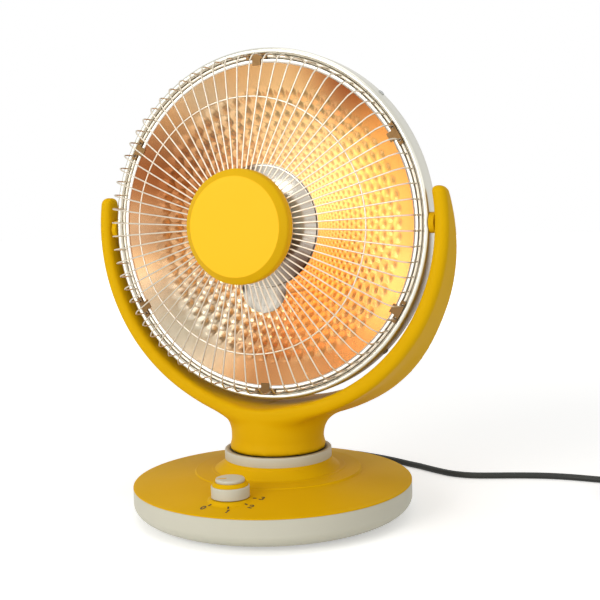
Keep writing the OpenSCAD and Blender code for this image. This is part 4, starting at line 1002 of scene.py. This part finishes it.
    def marks(self) -> bpy.types.Object:
        """Generic dial marks round the knob: 0, 1, 2, 3 and a tick at each."""
        a = np.linspace(0, TAU, 21)
        zero = np.column_stack([0.3 + 0.27 * np.cos(a), 0.5 + 0.5 * np.sin(a)])
        one = [(0.12, 0.78), (0.34, 1.0), (0.34, 0.0)]
        two = outline(arc(0.3, 0.72, 0.28, 160, -52, 14), (0.04, 0.0), (0.6, 0.0))
        three = outline(arc(0.3, 0.76, 0.24, 150, -80, 13), arc(0.3, 0.27, 0.27, 80, -150, 13))
        made = []
        for shape, angle in zip((zero, one, two, three), self.bearings):
            c, s = bearing(angle)
            tick = [(0.3 + c * k, 0.5 + s * k) for k in (-0.35, 0.35)]
            made += [self.mark(shape, angle, *self.figure), self.mark(tick, angle, *self.tick)]
        return build("dial_marks", *merged(made), smooth=False)

    def build(self, nodes: dict) -> None:
        """Makes and dresses the base."""
        dress(self.tray(), "base", "white_plastic", WHITE, "base_tray")
        dress(self.cover(), "base", "yellow_plastic", YELLOW, "base_cover")
        dress(self.collar(), "base", "white_plastic", WHITE, "collar_ring")
        dress(self.marks(), "base", "black_plastic", PRINT)
        paint(nodes, {
            RUBBER: "rubber_feet", CAST: "ballast_plate", BLACK: "rotary_switch tip_switch",
            ZINC: "base_screws swivel_plate swivel_screws swing_motor", BRASS: "switch_nut",
            NYLON: "swivel_bush thrust_washer motor_pinion tip_guide terminal_block tip_plunger"})


@dataclass
class Knob:
    """Control knob: white skirt, yellow band, and a white top with a raised pointer line."""

    radius: float = 16.5
    low: float = 37.755
    band_z: float = 47.675
    band_top: float = 50.875
    cap_r: float = 12.5
    top: float = 53.755
    pointer_turn: float = -52.0

    def build(self, nodes: dict) -> None:
        """Makes and dresses the knob's three pieces."""
        r, z0, z1, z2 = self.radius, self.low, self.band_z, self.band_top
        z3, c = self.top, self.cap_r
        skirt = outline((r - 2.2, z0), (r - 0.4, z0), arc(r - 0.4, z0 + 0.4, 0.4, -90, 0, 3),
                        arc(r - 0.6, z1 - 0.6, 0.6, 0, 90, 5), (0, z1), (0, z1 - 2),
                        (r - 2.2, z1 - 2))
        band = outline((0, z1 - 0.05), (r - 0.8, z1 - 0.05),
                       arc(r - 1.2, z1 + 0.5, 0.4, -50, 60, 4),
                       arc(c + 1.0, z2 - 0.7, 0.7, 40, 90, 4), (0, z2))
        cap = outline((0, z2 - 0.05), (c, z2 - 0.05), (c, z3 - 1.2),
                      arc(c - 1.0, z3 - 1.0, 1.0, 0, 90, 5), (c * 0.5, z3 - 0.15),
                      (0, z3 - 0.25))
        for name, profile, slot, finish, node in (
                ("knob_skirt", skirt, "white_plastic", WHITE, "knob_body"),
                ("knob_ring", band, "yellow_plastic", YELLOW, "knob_band"),
                ("knob_top", cap, "white_plastic", WHITE, "knob_cap")):
            dress(revolve(name, profile, Axis.UP, KNOB_AT, 128), "knob", slot, finish, node)
        paint(nodes, {BRASS: "switch_shaft"})
        self.pointer()

    def pointer(self) -> None:
        """Raised line on the knob's top that points at the dial: a rounded bar."""
        y = np.array([-12.2, -11.8, -11.0, -4.0, -3.2, -2.8])
        w = np.array([0.25, 0.65, 0.8, 0.8, 0.65, 0.25])
        a = np.arange(10) * TAU / 10
        x = w[:, None] * np.cos(a)[None]
        z = self.top - 0.2 + w[:, None] * 0.55 * np.sin(a)[None]
        c, s = bearing(self.pointer_turn)
        y = y[:, None]
        bar = points(KNOB_AT[0] + x * c - y * s, KNOB_AT[1] + x * s + y * c, z)
        dress(stopped("knob_pointer", bar), "knob", "yellow_plastic", YELLOW)


# ---------------------------------------------------------------- Neck and yoke


@dataclass
class Yoke:
    """Yellow neck and crescent arms as one smooth skin, with the strip on the back.

    The skin is where a distance function is zero: a crescent between two circles, rounded
    into the front and back faces, joined to the round neck by a fillet that is wide at the
    sides and fades at the front and back, and a little deeper at the heel behind the neck.
    """

    in_r: float = 165.0
    out_r: float = 178.009
    drop: float = 1.791
    tip_z: float = 298.0
    neck_r: float = 43.6
    rim_r: float = 45.2
    arm_front: float = -17.5
    arm_back: float = 7.5
    root_front: float = -31.1
    root_back: float = 55.1
    spread: float = 48.0
    edge_r: float = 6.2
    back_edge_r: float = 3.0
    fillet: float = 20.0
    heel: float = 5.5
    back_power: float = 1.35
    tip_edge: float = 6.0
    neck_edge: float = 0.8
    neck_h: float = 41.0
    inner_edge: float = 2.2
    screw_angles: tuple = (-66, -40, 0, 40, 66)
    screw_size: tuple = (2.6, 0.9)
    strip_wall: float = 3.1
    strip_end: float = 82.4
    voxel: float = 1.7

    def swell(self, x: np.ndarray) -> np.ndarray:
        """Share of the root's extra depth at a distance from the middle: exp(-(x/spread)^2)."""
        return np.exp(-(x / self.spread) ** 2)

    def front(self, x: np.ndarray) -> np.ndarray:
        """Y of the arms' front face."""
        return self.arm_front + (self.root_front - self.arm_front) * self.swell(x)

    def back(self, z: np.ndarray) -> tuple:
        """Y and slope of the back face at a height.

        Y is root - (root - arm) t^n, where t goes from 0 at the crescent's lowest point to 1
        at the axis, and n is back_power.
        """
        low = self.out_r + self.drop
        t = np.maximum((z - HEAD_Z) / low + 1, 0)
        deep, n = self.root_back - self.arm_back, self.back_power
        return self.root_back - deep * t ** n, -deep * n * t ** (n - 1) / low

    def outer(self, a: np.ndarray) -> np.ndarray:
        """Radius of the crescent's outer circle, from the head's axis, at angles from below."""
        return self.drop * np.cos(a) + np.sqrt(self.out_r ** 2 - (self.drop * np.sin(a)) ** 2)

    @staticmethod
    def rounded(r: float, *d: np.ndarray) -> np.ndarray:
        """Intersection of solids given by their distances, its edges rounded by r."""
        s = np.stack(d) + r
        return np.minimum(s.max(axis=0), 0) + np.linalg.norm(np.maximum(s, 0), axis=0) - r

    def distance(self, p: np.ndarray) -> np.ndarray:
        """Distance of points from the skin, negative inside.

        Args:
            p: (n, 3) points in mm.

        Returns:
            An (n,) array.
        """
        x, y, z = p.T
        h = z - HEAD_Z
        inside = self.in_r - np.hypot(x, h)
        heel = smooth_step((y - 5) / 40) * smooth_step((-h / self.out_r - 0.42) / 0.5)
        outside = np.hypot(x, h + self.drop) - self.out_r - self.heel * heel
        shape = self.rounded(self.tip_edge, inside, outside, z - self.tip_z)
        slope_f = 2 * x / self.spread ** 2 * self.swell(x) * (self.root_front - self.arm_front)
        front = (self.front(x) - y) / np.sqrt(1 + slope_f ** 2)
        back_y, slope_b = self.back(z)
        back = (y - back_y) / np.sqrt(1 + slope_b ** 2)
        arms = self.rounded(self.back_edge_r, self.rounded(self.edge_r, shape, front), back)
        q = np.hypot(x, y - NECK_Y)
        up = z - NECK_Z
        radius = self.neck_r + (self.rim_r - self.neck_r) * (1 - smooth_step((up - 1.5) / 9))
        neck = self.rounded(self.neck_edge, q - radius, -up, up - self.neck_h)
        side = (x / np.maximum(q, 1)) ** 2
        k = 3 + self.fillet * side
        m = np.clip(0.5 + 0.5 * (neck - arms) / k, 0, 1)
        joined = neck + (arms - neck) * m - k * m * (1 - m)
        joined = np.where(up < 3, neck, joined)
        return self.rounded(self.inner_edge, joined, inside)

    def project(self, p: np.ndarray, times: int) -> np.ndarray:
        """Moves points onto the skin by Newton steps along the distance's gradient."""
        e = 0.02
        for _ in range(times):
            f = self.distance(p)
            g = np.stack([(self.distance(p + d) - self.distance(p - d)) / (2 * e)
                          for d in np.eye(3) * e], axis=1)
            steep = np.maximum((g ** 2).sum(axis=1), 0.25)[:, None]
            p = p - np.clip(f, -1.5, 1.5)[:, None] * g / steep
        return p

    def rough(self) -> bpy.types.Object:
        """Coarse closed shapes of the arms and the neck, as the remesh's starting point."""
        a = np.radians(np.linspace(-100, 100, 161))
        out, ring = self.outer(a), []
        for u, v in [(0, 0), (0.5, 0), (1, 0), (1, 0.5), (1, 1), (0.5, 1), (0, 1), (0, 0.5)]:
            r = self.in_r + (out - self.in_r) * u
            x, z = r * np.sin(a), HEAD_Z - r * np.cos(a)
            y = self.front(x) + (self.back(z)[0] - self.front(x)) * v
            ring.append(points(x, y, z))
        t = np.arange(64) * TAU / 64
        neck = points(self.neck_r * np.cos(t), NECK_Y + self.neck_r * np.sin(t),
                      np.array([[NECK_Z + 0.3], [NECK_Z + 40]]))
        arms = np.stack(ring, axis=1)
        return build("yoke_skin", *merged([(arms.reshape(-1, 3), capped(len(a), 8)),
                                           (neck.reshape(-1, 3), capped(2, 64))]))

    def skin(self) -> bpy.types.Object:
        """Remeshes the coarse shape evenly, evens the points and lays them on the skin."""
        obj = self.rough()
        mod = obj.modifiers.new("even", "REMESH")
        mod.mode, mod.voxel_size = "VOXEL", self.voxel * MM
        graph = bpy.context.evaluated_depsgraph_get()
        mesh = bpy.data.meshes.new_from_object(obj.evaluated_get(graph))
        obj.modifiers.clear()
        obj.data = mesh
        n = len(mesh.vertices)
        p = np.zeros(n * 3)
        mesh.vertices.foreach_get("co", p)
        p = self.project(p.reshape(-1, 3) / MM, 10)
        e = np.zeros(len(mesh.edges) * 2, np.int32)
        mesh.edges.foreach_get("vertices", e)
        e = e.reshape(-1, 2)
        count = np.bincount(e.ravel(), minlength=n)[:, None]
        for _ in range(6):
            total = np.zeros((n, 3))
            np.add.at(total, e[:, 0], p[e[:, 1]])
            np.add.at(total, e[:, 1], p[e[:, 0]])
            p = self.project(0.4 * p + 0.6 * total / count, 3)
        mesh.vertices.foreach_set("co", (p * MM).ravel())
        mesh.polygons.foreach_set("use_smooth", [True] * len(mesh.polygons))
        mesh.update()
        return obj

    def strip(self) -> bpy.types.Object:
        """Cover strip on the arms' back, a little proud, over the crescent less its walls.

        A point at angle a and share v across is at radius in + w + (out - in - 2 w) v, where w
        is the wall; its height over the back face is 0.45 mm, rounding down to the face at its
        edges.
        """
        w, last = self.strip_wall, self.strip_end
        a = np.radians(np.linspace(-last, last, 241))
        v = np.array([0, 0, 0.01, 0.03, 0.07, 0.2, 0.35, 0.5, 0.65, 0.8, 0.93, 0.97, 0.99, 1, 1])
        edge = [-0.8, 0.0, 0.25, 0.4]
        lift = np.array(edge + [0.45] * 7 + edge[::-1])
        r = self.in_r + w + (self.outer(a)[:, None] - self.in_r - 2 * w) * v[None]
        end = np.minimum(1, (last - np.abs(np.degrees(a))) / 0.5)[:, None]
        x, z = r * np.sin(a)[:, None], HEAD_Z - r * np.cos(a)[:, None]
        y = self.back(z)[0] + np.where(lift > 0, lift[None] * np.sqrt(end), lift[None])
        return stopped("yoke_strip", points(x, y, z))

    def screw_places(self) -> list:
        """Centre, direction, radius and height of each screw's head in the strip."""
        made = []
        for c, s in map(bearing, self.screw_angles):
            r = (self.in_r + self.drop * c + self.out_r) / 2
            z = HEAD_Z - r * c
            y, slope = self.back(z)
            made.append(((r * s, float(y) + 0.3, z), (0, 1, -float(slope)), *self.screw_size))
        return made

    def build(self, nodes: dict) -> None:
        """Makes and dresses the neck, the arms and what runs in them."""
        dress(self.skin(), "swivel", "yellow_plastic", YELLOW, "yoke")
        dress(self.strip(), "swivel", "yellow_plastic", YELLOW, "yoke_back")
        heads = screws("yoke_back_screws", self.screw_places())
        dress(heads, "swivel", "plated_steel", ZINC, "yoke_screws")
        paint(nodes, {ZINC: "swivel_spindle retaining_clip", NYLON: "sector_gear"})


# ---------------------------------------------------------------- Head


@dataclass
class Head:
    """Ring, reflector, rear housing and pivots; all turned about the head's axis.

    Sizes in millimetres. The head's axis runs along Y through HEAD_AXIS; a profile is
    given in distance from that axis and the world's Y.
    """

    ring_r: float = 160.0
    front_y: float = -10.5
    back_y: float = 9.5
    flange_r: float = 146.6
    groove_in: float = 150.4
    groove_out: float = 154.4
    groove_depth: float = 3.5
    dish_r: float = 149.0
    dish_y: float = -9.5
    dish_depth: float = 75.0
    dish_hole: float = 18.0
    dimples: int = 63
    dimple_in: float = 26.0
    dimple_out: float = 128.0
    bowl_y: float = 10.7
    bowl_r: float = 156.4
    lip_r: float = 158.8
    bowl_back: float = 82.5
    vents: int = 20
    vent_in: float = 66.0
    vent_out: float = 104.0
    vent_w: float = 4.0
    housing_wall: float = 2.2
    beads: tuple = (57.0, 113.0)
    bead_h: float = 0.9
    bead_w: float = 1.6
    screw_angles: tuple = (45, 135, 225, 315)
    screw_size: tuple = (2.8, 1.0)
    dish_wall: float = 0.8
    dish_steps: int = 648
    row_gap: float = 0.866
    dimple_height: float = 0.13

    def dish_at(self, r: np.ndarray) -> np.ndarray:
        """Y of the reflector's front: dish_y + depth (1 - (r / dish_r)^2)."""
        return self.dish_y + self.dish_depth * (1 - (r / self.dish_r) ** 2)

    def bowl_at(self, r: np.ndarray) -> np.ndarray:
        """Y of the housing's outside: bowl_y + (back - bowl_y) sqrt(1 - (r / bowl_r)^2)."""
        share = np.sqrt(np.clip(1 - (r / self.bowl_r) ** 2, 0, 1))
        return self.bowl_y + (self.bowl_back - self.bowl_y) * share

    def ring(self) -> bpy.types.Object:
        """Pressed steel ring: inner flange, groove for the guard, rolled edge, skirt."""
        f, gi, go, r = self.flange_r, self.groove_in, self.groove_out, self.ring_r
        y, b = self.front_y, self.back_y
        deep = y + self.groove_depth
        profile = outline(
            (f, y), (gi - 1.3, y), arc(gi - 1.2, y + 1.0, 1.0, -90, -15, 4),
            (gi, deep - 0.7), arc(gi + 0.7, deep - 0.7, 0.7, 180, 90, 3),
            arc(go - 0.7, deep - 0.7, 0.7, 90, 0, 3), (go, y + 1.0),
            arc(r - 2.8, y + 1.1, 2.8, -170, 0, 14), (r, b - 0.4),
            arc(r - 0.4, b - 0.4, 0.4, 0, 90, 3),
            (r - 1, b), (r - 1, y + 1.4), arc(r - 2.8, y + 1.3, 1.8, 0, -175, 8),
            (go + 1, deep + 0.4), (go, deep + 1), (gi, deep + 1), (gi - 1, deep),
            (gi - 1.6, y + 1), (f, y + 1))
        return revolve("pressed_ring", profile, Axis.HEAD, HEAD_AXIS, 288)

    def dish(self) -> bpy.types.Object:
        """Dimpled reflector: a dish with round bumps in staggered rows, and its plain back.

        Rows are counted by log(r / inner) over a fixed share of a radian, so a bump stays as
        long as it is wide. At distance d from a bump's middle, in pitches, its height is a
        share of the pitch times (1 - (d / 0.5)^2)^1.5.
        """
        steps, gap = self.dish_steps, self.row_gap
        r = np.concatenate([[self.dish_hole, 22],
                            np.linspace(self.dimple_in - 1, self.dimple_out + 1, 136),
                            [131, 135, 140, 144, 147, self.dish_r]])[::-1]
        a = np.arange(steps) * TAU / steps
        rr, aa = np.meshgrid(r, a, indexing="ij")
        pitch = TAU / self.dimples
        row = np.log(rr / self.dimple_in) / (gap * pitch)
        near = np.zeros_like(rr)
        rows = int(math.log(self.dimple_out / self.dimple_in) / (gap * pitch))
        for shift in (0, 1):
            k = np.clip(np.floor(row) + shift, 1, rows)
            v = aa / pitch + 0.5 * (k % 2)
            v -= np.round(v)
            d = np.hypot((row - k) * gap, v) / 0.5
            near = np.maximum(near, np.clip(1 - d * d, 0, 1))
        depth = self.dimple_height * rr * pitch * near ** 1.5
        front = place(np.column_stack([r, self.dish_at(r)]), a, Axis.HEAD, HEAD_AXIS)
        front = front.transpose(1, 0, 2)
        front[..., 1] -= depth
        back_r = np.array([self.dish_hole, 40, 65, 90, 115, 135, self.dish_r])
        back = np.column_stack([back_r, self.dish_at(back_r) + self.dish_wall])
        back = place(back, a, Axis.HEAD, HEAD_AXIS)
        pts = np.concatenate([front, back.transpose(1, 0, 2)])
        return closed("reflector", pts)

    def housing(self) -> bpy.types.Object:
        """Vented bowl behind the ring, as a skin given its wall by a modifier.

        Columns crowd to each slot: within a vent's sector the angle is asin(w(r) / r) at the
        slot's edge, where w(r) is half the slot's width with round ends, and runs evenly on
        to the sector's edge.
        """
        t = np.radians(np.concatenate([np.linspace(0, 46, 18), np.linspace(47, 90, 50)]))
        r = self.bowl_r * np.cos(t)
        h = self.vent_w / 2
        bend = h * (1 - np.cos(np.radians([25, 50, 75])))
        ends = [self.vent_out + 0.1, self.vent_out, *(self.vent_out - bend),
                *(self.vent_in + bend[::-1]), self.vent_in, self.vent_in - 0.1]
        r = np.unique(np.concatenate([r[:-1], ends]))[::-1]
        y = self.bowl_at(r)
        for bead_r in self.beads:
            y += self.bead_h * np.exp(-((r - bead_r) / self.bead_w) ** 2)
        r = np.concatenate([[self.lip_r, self.lip_r, self.lip_r - 0.3, self.lip_r - 1.2], r])
        y = np.concatenate([[0.6, self.bowl_y - 1.2, self.bowl_y - 0.5, self.bowl_y - 0.1], y])
        mid = np.minimum(r - self.vent_in, self.vent_out - r)
        bend = 1 - np.clip(mid, 0, h) / h
        half = np.where(mid > h, h, h * np.sqrt(np.clip(1 - bend ** 2, 0, 1)))
        half = np.maximum(half, np.clip(0.25 + np.maximum(-mid, 0) * 0.12, 0.25, h))
        sector = TAU / self.vents / 2
        inside = np.array([-1, -0.5, 0, 0.5, 1])
        outside = np.linspace(0, 1, 9)[1:-1]
        edge = np.arcsin(np.clip(half / np.maximum(r, 5), 0, 0.9))[:, None]
        edge = np.minimum(edge, sector * 0.6)
        before = np.linspace(0, 1, 9)[:-1]
        cols = np.concatenate([-sector + (sector - edge) * before[None], edge * inside[None],
                               edge + (sector - edge) * outside[None]], axis=1)
        n = cols.shape[1]
        middles = (np.arange(self.vents) + 0.5)[None, :, None] * 2 * sector
        angle = (cols[:, None, :] + middles).reshape(len(r), -1)
        pts = points(r[:, None] * np.cos(angle), y[:, None], HEAD_Z - r[:, None] * np.sin(angle))
        faces = grid_faces(len(r), angle.shape[1], wrap_v=True).reshape(len(r) - 1, -1, 4)
        col = np.arange(angle.shape[1]) % n
        in_slot = (col >= 8) & (col < 12)
        middle = (r[:-1] + r[1:]) / 2
        open_row = (middle < self.vent_out) & (middle > self.vent_in)
        keep = ~(open_row[:, None] & in_slot[None])
        last = list(range((len(r) - 1) * angle.shape[1], angle.size))
        obj = build("rear_shell", pts.reshape(-1, 3), faces[keep].tolist() + [last])
        wall = obj.modifiers.new("wall", "SOLIDIFY")
        wall.thickness, wall.offset = self.housing_wall * MM, -1.0
        return obj

    def build(self, nodes: dict) -> None:
        """Makes and dresses the head's shells and its pivots."""
        dress(self.ring(), "head", "bright_ring", BRIGHT, "steel_ring")
        dress(self.dish(), "head", "gold_reflector", GOLD, "reflector_dish")
        dress(self.housing(), "head", "yellow_plastic", YELLOW, "rear_housing")
        r = self.ring_r + 0.2
        sides = [((r * c, 5.0, HEAD_Z - r * s), (c, 0, -s), *self.screw_size)
                 for c, s in map(bearing, self.screw_angles)]
        dress(screws("ring_screws", sides), "head", "plated_steel", ZINC, "housing_screws")
        paint(nodes, {YELLOW: "tilt_washers", ZINC: "tilt_pins pivot_brackets",
                      BLACK: "thermal_cutout"})


# ---------------------------------------------------------------- Guard and hub


@dataclass
class Guard:
    """Radial wires, their three rings, the clips and the hub cap.

    A wire is a round bar carried along a curve in the plane of its radius; all wires are
    one array of copies turned about the head's axis.
    """

    count: int = 72
    wire_r: float = 0.72
    hub_r: float = 50.8
    face_r: float = 43.4
    hub_face: float = -62.0
    hub_back: float = -49.0
    line: list = field(default_factory=lambda: [
        (46, -48), (52, -48), (96, -42.3), (140, -36.6), (147, -34.2), (151.2, -29.8),
        (152.4, -24), (152.4, -16), (152.4, -8.3)])
    rings: tuple = ((152.4, -8.9, 1.7), (114.0, -38.9, 0.72), (47.8, -48.0, 1.0))

    def wires(self) -> bpy.types.Object:
        """All radial wires and rings in one mesh, each a closed bar."""
        line = spline(np.array(self.line, float), 4)
        t = np.gradient(line, axis=0)
        t /= np.linalg.norm(t, axis=1)[:, None]
        n = np.column_stack([-t[:, 1], t[:, 0]])
        line = np.vstack([line[:1], line, line[-1:]])
        n = np.vstack([n[:1], n, n[-1:]])
        radius = np.full(len(line), self.wire_r)
        radius[[0, -1]] = 0
        k = np.arange(8) * TAU / 8
        r = line[:, :1] + radius[:, None] * n[:, :1] * np.cos(k)
        y = line[:, 1:] + radius[:, None] * n[:, 1:] * np.cos(k)
        b = radius[:, None] * np.sin(k)[None]
        a = ((np.arange(self.count) + 0.5) * TAU / self.count)[:, None, None]
        x = r * np.cos(a) - b * np.sin(a)
        z = HEAD_Z - (r * np.sin(a) + b * np.cos(a))
        pts = points(x, y, z).reshape(self.count, -1, 3)
        verts, faces = many(pts, grid_faces(len(line), 8, wrap_v=True))
        steps = 3 * self.count
        turn = np.arange(steps) * TAU / steps
        for r0, y0, w in self.rings:
            ring = place(arc(r0, y0, w, 0, 315, 7), turn, Axis.HEAD, HEAD_AXIS)
            faces = np.vstack([faces, grid_faces(steps, 8, wrap_u=True, wrap_v=True) + len(verts)])
            verts = np.vstack([verts, ring.reshape(-1, 3)])
        return build("guard_wires", verts, faces)

    def cap(self) -> bpy.types.Object:
        """Hub cap: flat face, sloped rim, round shoulder and a short skirt."""
        r, y, b = self.hub_r, self.hub_face, self.hub_back
        f = self.face_r
        profile = outline((0, y), (20, y), (f, y), arc(f, y + 1.2, 1.2, -90, -42, 4),
                          arc(r - 4.4, y + 6.4, 4.4, -42, 0, 8), (r, b - 0.5),
                          arc(r - 0.5, b - 0.5, 0.5, 0, 90, 3),
                          (r - 2.2, b), (r - 2.2, y + 7), (r - 8, y + 2.4), (0, y + 2.4))
        return revolve("hub_cover", profile, Axis.HEAD, HEAD_AXIS, 192)

    def build(self, nodes: dict) -> None:
        """Makes and dresses the guard."""
        dress(self.wires(), "head", "guard_wire", WIRE, "front_guard")
        dress(self.cap(), "head", "yellow_plastic", HUB, "hub_cap")
        paint(nodes, {BRONZE: "guard_clips", ZINC: "hub_plate"})


# ---------------------------------------------------------------- Element


@dataclass
class Element:
    """Counter reflector, terminal shield, ceramic core and the glowing winding."""

    counter_r: float = 57.0
    counter_y: float = -9.5
    counter_rise: float = 11.0
    sheet: float = 0.8
    bow: float = 1.2
    tongue_w: float = 46.0
    reach: float = 80.0
    tube_r: float = 1.6
    winding_r: float = 13.9
    start: float = 10.0
    pitch: float = 4.0
    turns: int = 10
    loops: int = 15
    wire_r: float = 0.5

    def counter(self) -> bpy.types.Object:
        """Shallow polished disc: y = edge - rise (1 - (r / radius)^2), with a rolled edge."""
        r = np.linspace(0.2, self.counter_r - 0.8, 40)
        rise = self.counter_rise * (1 - (r / self.counter_r) ** 2)
        front = np.column_stack([r, self.counter_y - rise])
        edge = arc(self.counter_r - 0.6, self.counter_y + 0.1, 0.6, -100, 90, 8)
        back = front[::-4] + [0, self.sheet]
        return revolve("counter_disc", outline(front, edge, back), Axis.HEAD, HEAD_AXIS, 192)

    def tongue(self) -> bpy.types.Object:
        """Shield below the disc: a tongue with a round end, bowed a little across.

        Point (u, v): half width w(v) times u from -1 to 1, and distance v down from the
        axis; it stands bow (1 - u^2) mm further forward in the middle.
        """
        w = self.tongue_w / 2
        v = np.concatenate([np.linspace(14, self.reach - w, 16)[:-1],
                            self.reach - w + w * np.sin(np.radians(np.linspace(0, 86, 22)))])
        bend = np.sqrt(np.clip(w ** 2 - (v - self.reach + w) ** 2, 0, None))
        half = np.where(v > self.reach - w, bend, w)
        u = np.concatenate([np.linspace(-1, 1, 25), np.linspace(1, -1, 25)])
        side = np.repeat([0, 1], 25)
        thick = side * np.clip((1 - np.abs(u)) * 8, 0.1, 1)
        y = self.counter_y + self.sheet - self.bow * (1 - u ** 2) + thick
        return stopped("terminal_tongue", points(half[:, None] * u, y, HEAD_Z - v[:, None]))

    def winding(self) -> bpy.types.Object:
        """Glowing spring: a fine coil of wire carried round the ceramic along a helix.

        With t turns along the helix, the fine coil has a number of loops a turn, of radius
        tube - wire. The wire is drawn as thick as it needs to be to show.
        """
        loops, wire = self.loops, self.wire_r
        t = np.linspace(0, self.turns, self.turns * loops * 9)
        a = TAU * t
        out = np.column_stack([np.cos(a), np.zeros_like(a), -np.sin(a)])
        mid = out * self.winding_r + points(0.0, self.start + self.pitch * t, HEAD_Z)
        b = TAU * t * loops
        fine = self.tube_r - wire
        path = mid + fine * (np.cos(b)[:, None] * out + np.sin(b)[:, None] * np.array([0, 1.0, 0]))
        return tube("glowing_spring", path, wire, 5)

    def build(self, nodes: dict) -> None:
        """Makes and dresses the element and its reflectors."""
        dress(self.counter(), "head", "polished_reflector", POLISHED, "counter_reflector")
        dress(self.tongue(), "head", "polished_reflector", POLISHED, "terminal_shield")
        dress(self.winding(), "head", "glowing_wire", HOT, "element_winding")
        paint(nodes, {CERAMIC: "element_core element_base", BRASS: "element_terminals",
                      STAINLESS: "shield_stays element_stem"})


# ---------------------------------------------------------------- Inner leads and the spring


@dataclass
class Leads:
    """Round inner leads on the solids' routes, and the plunger's closed-end spring."""

    spindle_z: float = 21.78
    block_z: float = 16.1
    start_y: float = 69.8
    floor_z: float = 9.1
    aisle_x: float = 27.0
    motor_x: float = -47.0
    switch_y: float = -78.8
    switch_z: float = 23.7
    spring_r: float = 4.54
    spring_z: tuple = (11.35, 21.45)
    spring_wire: float = 0.45
    coils: int = 5
    thin: float = 1.4
    thick: float = 2.2

    def base_routes(self) -> list:
        """Centre lines of the three leads from the terminal block."""
        s, b, f, n = self.start_y, self.block_z, self.floor_z, NECK_Y
        a, m, w = self.aisle_x, self.motor_x, self.switch_y
        return [
            [(10, s, b), (10, s - 4, b), (a - 9, s - 12, b - 2), (a, s - 30, f + 3), (a, 0, f + 2),
             (a - 7, w + 34, f + 3), (10, w + 10, self.switch_z - 1), (10, w, self.switch_z)],
            [(-12, s, b), (-12, s - 4, b), (-22, s - 14, b - 1), (m + 6, n + 35, b - 2),
             (m, n + 27, b - 2), (m, n + 22.2, b - 2)],
            [(0, s, b), (0, s - 4, b), (0, s - 20, f + 3), (0, n + 14, f + 2.6), (0, n + 5, f + 4),
             (0, n + 0.6, f + 8), (0, n, self.spindle_z - 0.3)]]

    def head_route(self, head: Head) -> np.ndarray:
        """Centre line midway between the dish and the housing."""
        r = np.array([134.0, 108.0, 70.0, 42.0])
        y = (head.dish_at(r) + head.bowl_at(r)) / 2
        drop = np.array([4, 6, 5, 3])
        middle = np.column_stack([r, y, HEAD_Z - drop])
        return np.vstack([[151, 4, HEAD_Z], [146, 12, HEAD_Z - 2], middle,
                          [23.2, head.dish_at(0.0) + 3, HEAD_Z - 1]])

    def yoke_route(self, yoke: Yoke) -> np.ndarray:
        """Centre line up the spindle, through the neck and along the right arm."""
        a = np.radians(np.arange(20, 81, 10))
        r, y = yoke.in_r + 5.2, -6.0
        low = [(0, 12, self.spindle_z), (0, 12, NECK_Z), (3, 11, NECK_Z + 10),
               (11, 5, NECK_Z + 20), (28, -3, NECK_Z + 34.3)]
        return np.vstack([low, np.column_stack([r * np.sin(a), 0 * a + y, HEAD_Z - r * np.cos(a)])])

    def joined(self, name: str, routes: list, radius: float) -> bpy.types.Object:
        """Tubes along several centre lines, as one mesh."""
        lines = [spline(np.array(route, float), 8) for route in routes]
        return build(name, *merged([(tube_points(line, radius, 12).reshape(-1, 3),
                                     capped(len(line), 12)) for line in lines]))

    def spring(self) -> bpy.types.Object:
        """Compression spring: z rises slowly in the end coils, evenly between them."""
        t = np.linspace(0, 1, self.coils * 36)
        low, high = self.spring_z
        a = TAU * self.coils * t
        share = smooth_step((t - 0.06) / 0.88) * 0.35 + np.clip((t - 0.06) / 0.88, 0, 1) * 0.65
        x, y = PLUNGER_AT
        path = np.column_stack([x + self.spring_r * np.cos(a), y + self.spring_r * np.sin(a),
                                low + (high - low) * share])
        return tube("plunger_spring", path, self.spring_wire, 10)

    def build(self, nodes: dict, head: Head, yoke: Yoke) -> None:
        """Makes and dresses the leads and the spring."""
        stub = [(0, 82, 17), (0, 95, 17), (0, 108, 17), (0, 119.4, 17)]
        for name, routes, radius, body, replaced in (
                ("inner_leads", self.base_routes(), self.thin, "base", ["base_leads"]),
                ("lead_entry", [stub], 3.0, "base", []),
                ("arm_lead", [self.yoke_route(yoke)], self.thick, "swivel", ["yoke_lead"]),
                ("element_lead", [self.head_route(head)], self.thick, "head", ["head_leads"])):
            dress(self.joined(name, routes, radius), body, "black_rubber", PVC, *replaced)
        spring = dress(self.spring(), None, "plated_steel", STAINLESS, "tip_spring")
        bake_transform(spring)


def main() -> None:
    """Builds the whole part and its studio in order."""
    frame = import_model()
    nodes = frame["nodes"]
    Studio().build()
    MainsLead().build(nodes)
    Base().build(nodes)
    Knob().build(nodes)
    yoke, head = Yoke(), Head()
    yoke.build(nodes)
    head.build(nodes)
    Guard().build(nodes)
    Element().build(nodes)
    Leads().build(nodes, head, yoke)


if __name__ == "__main__":
    logging.basicConfig(level=logging.INFO, format="%(message)s")
    main()
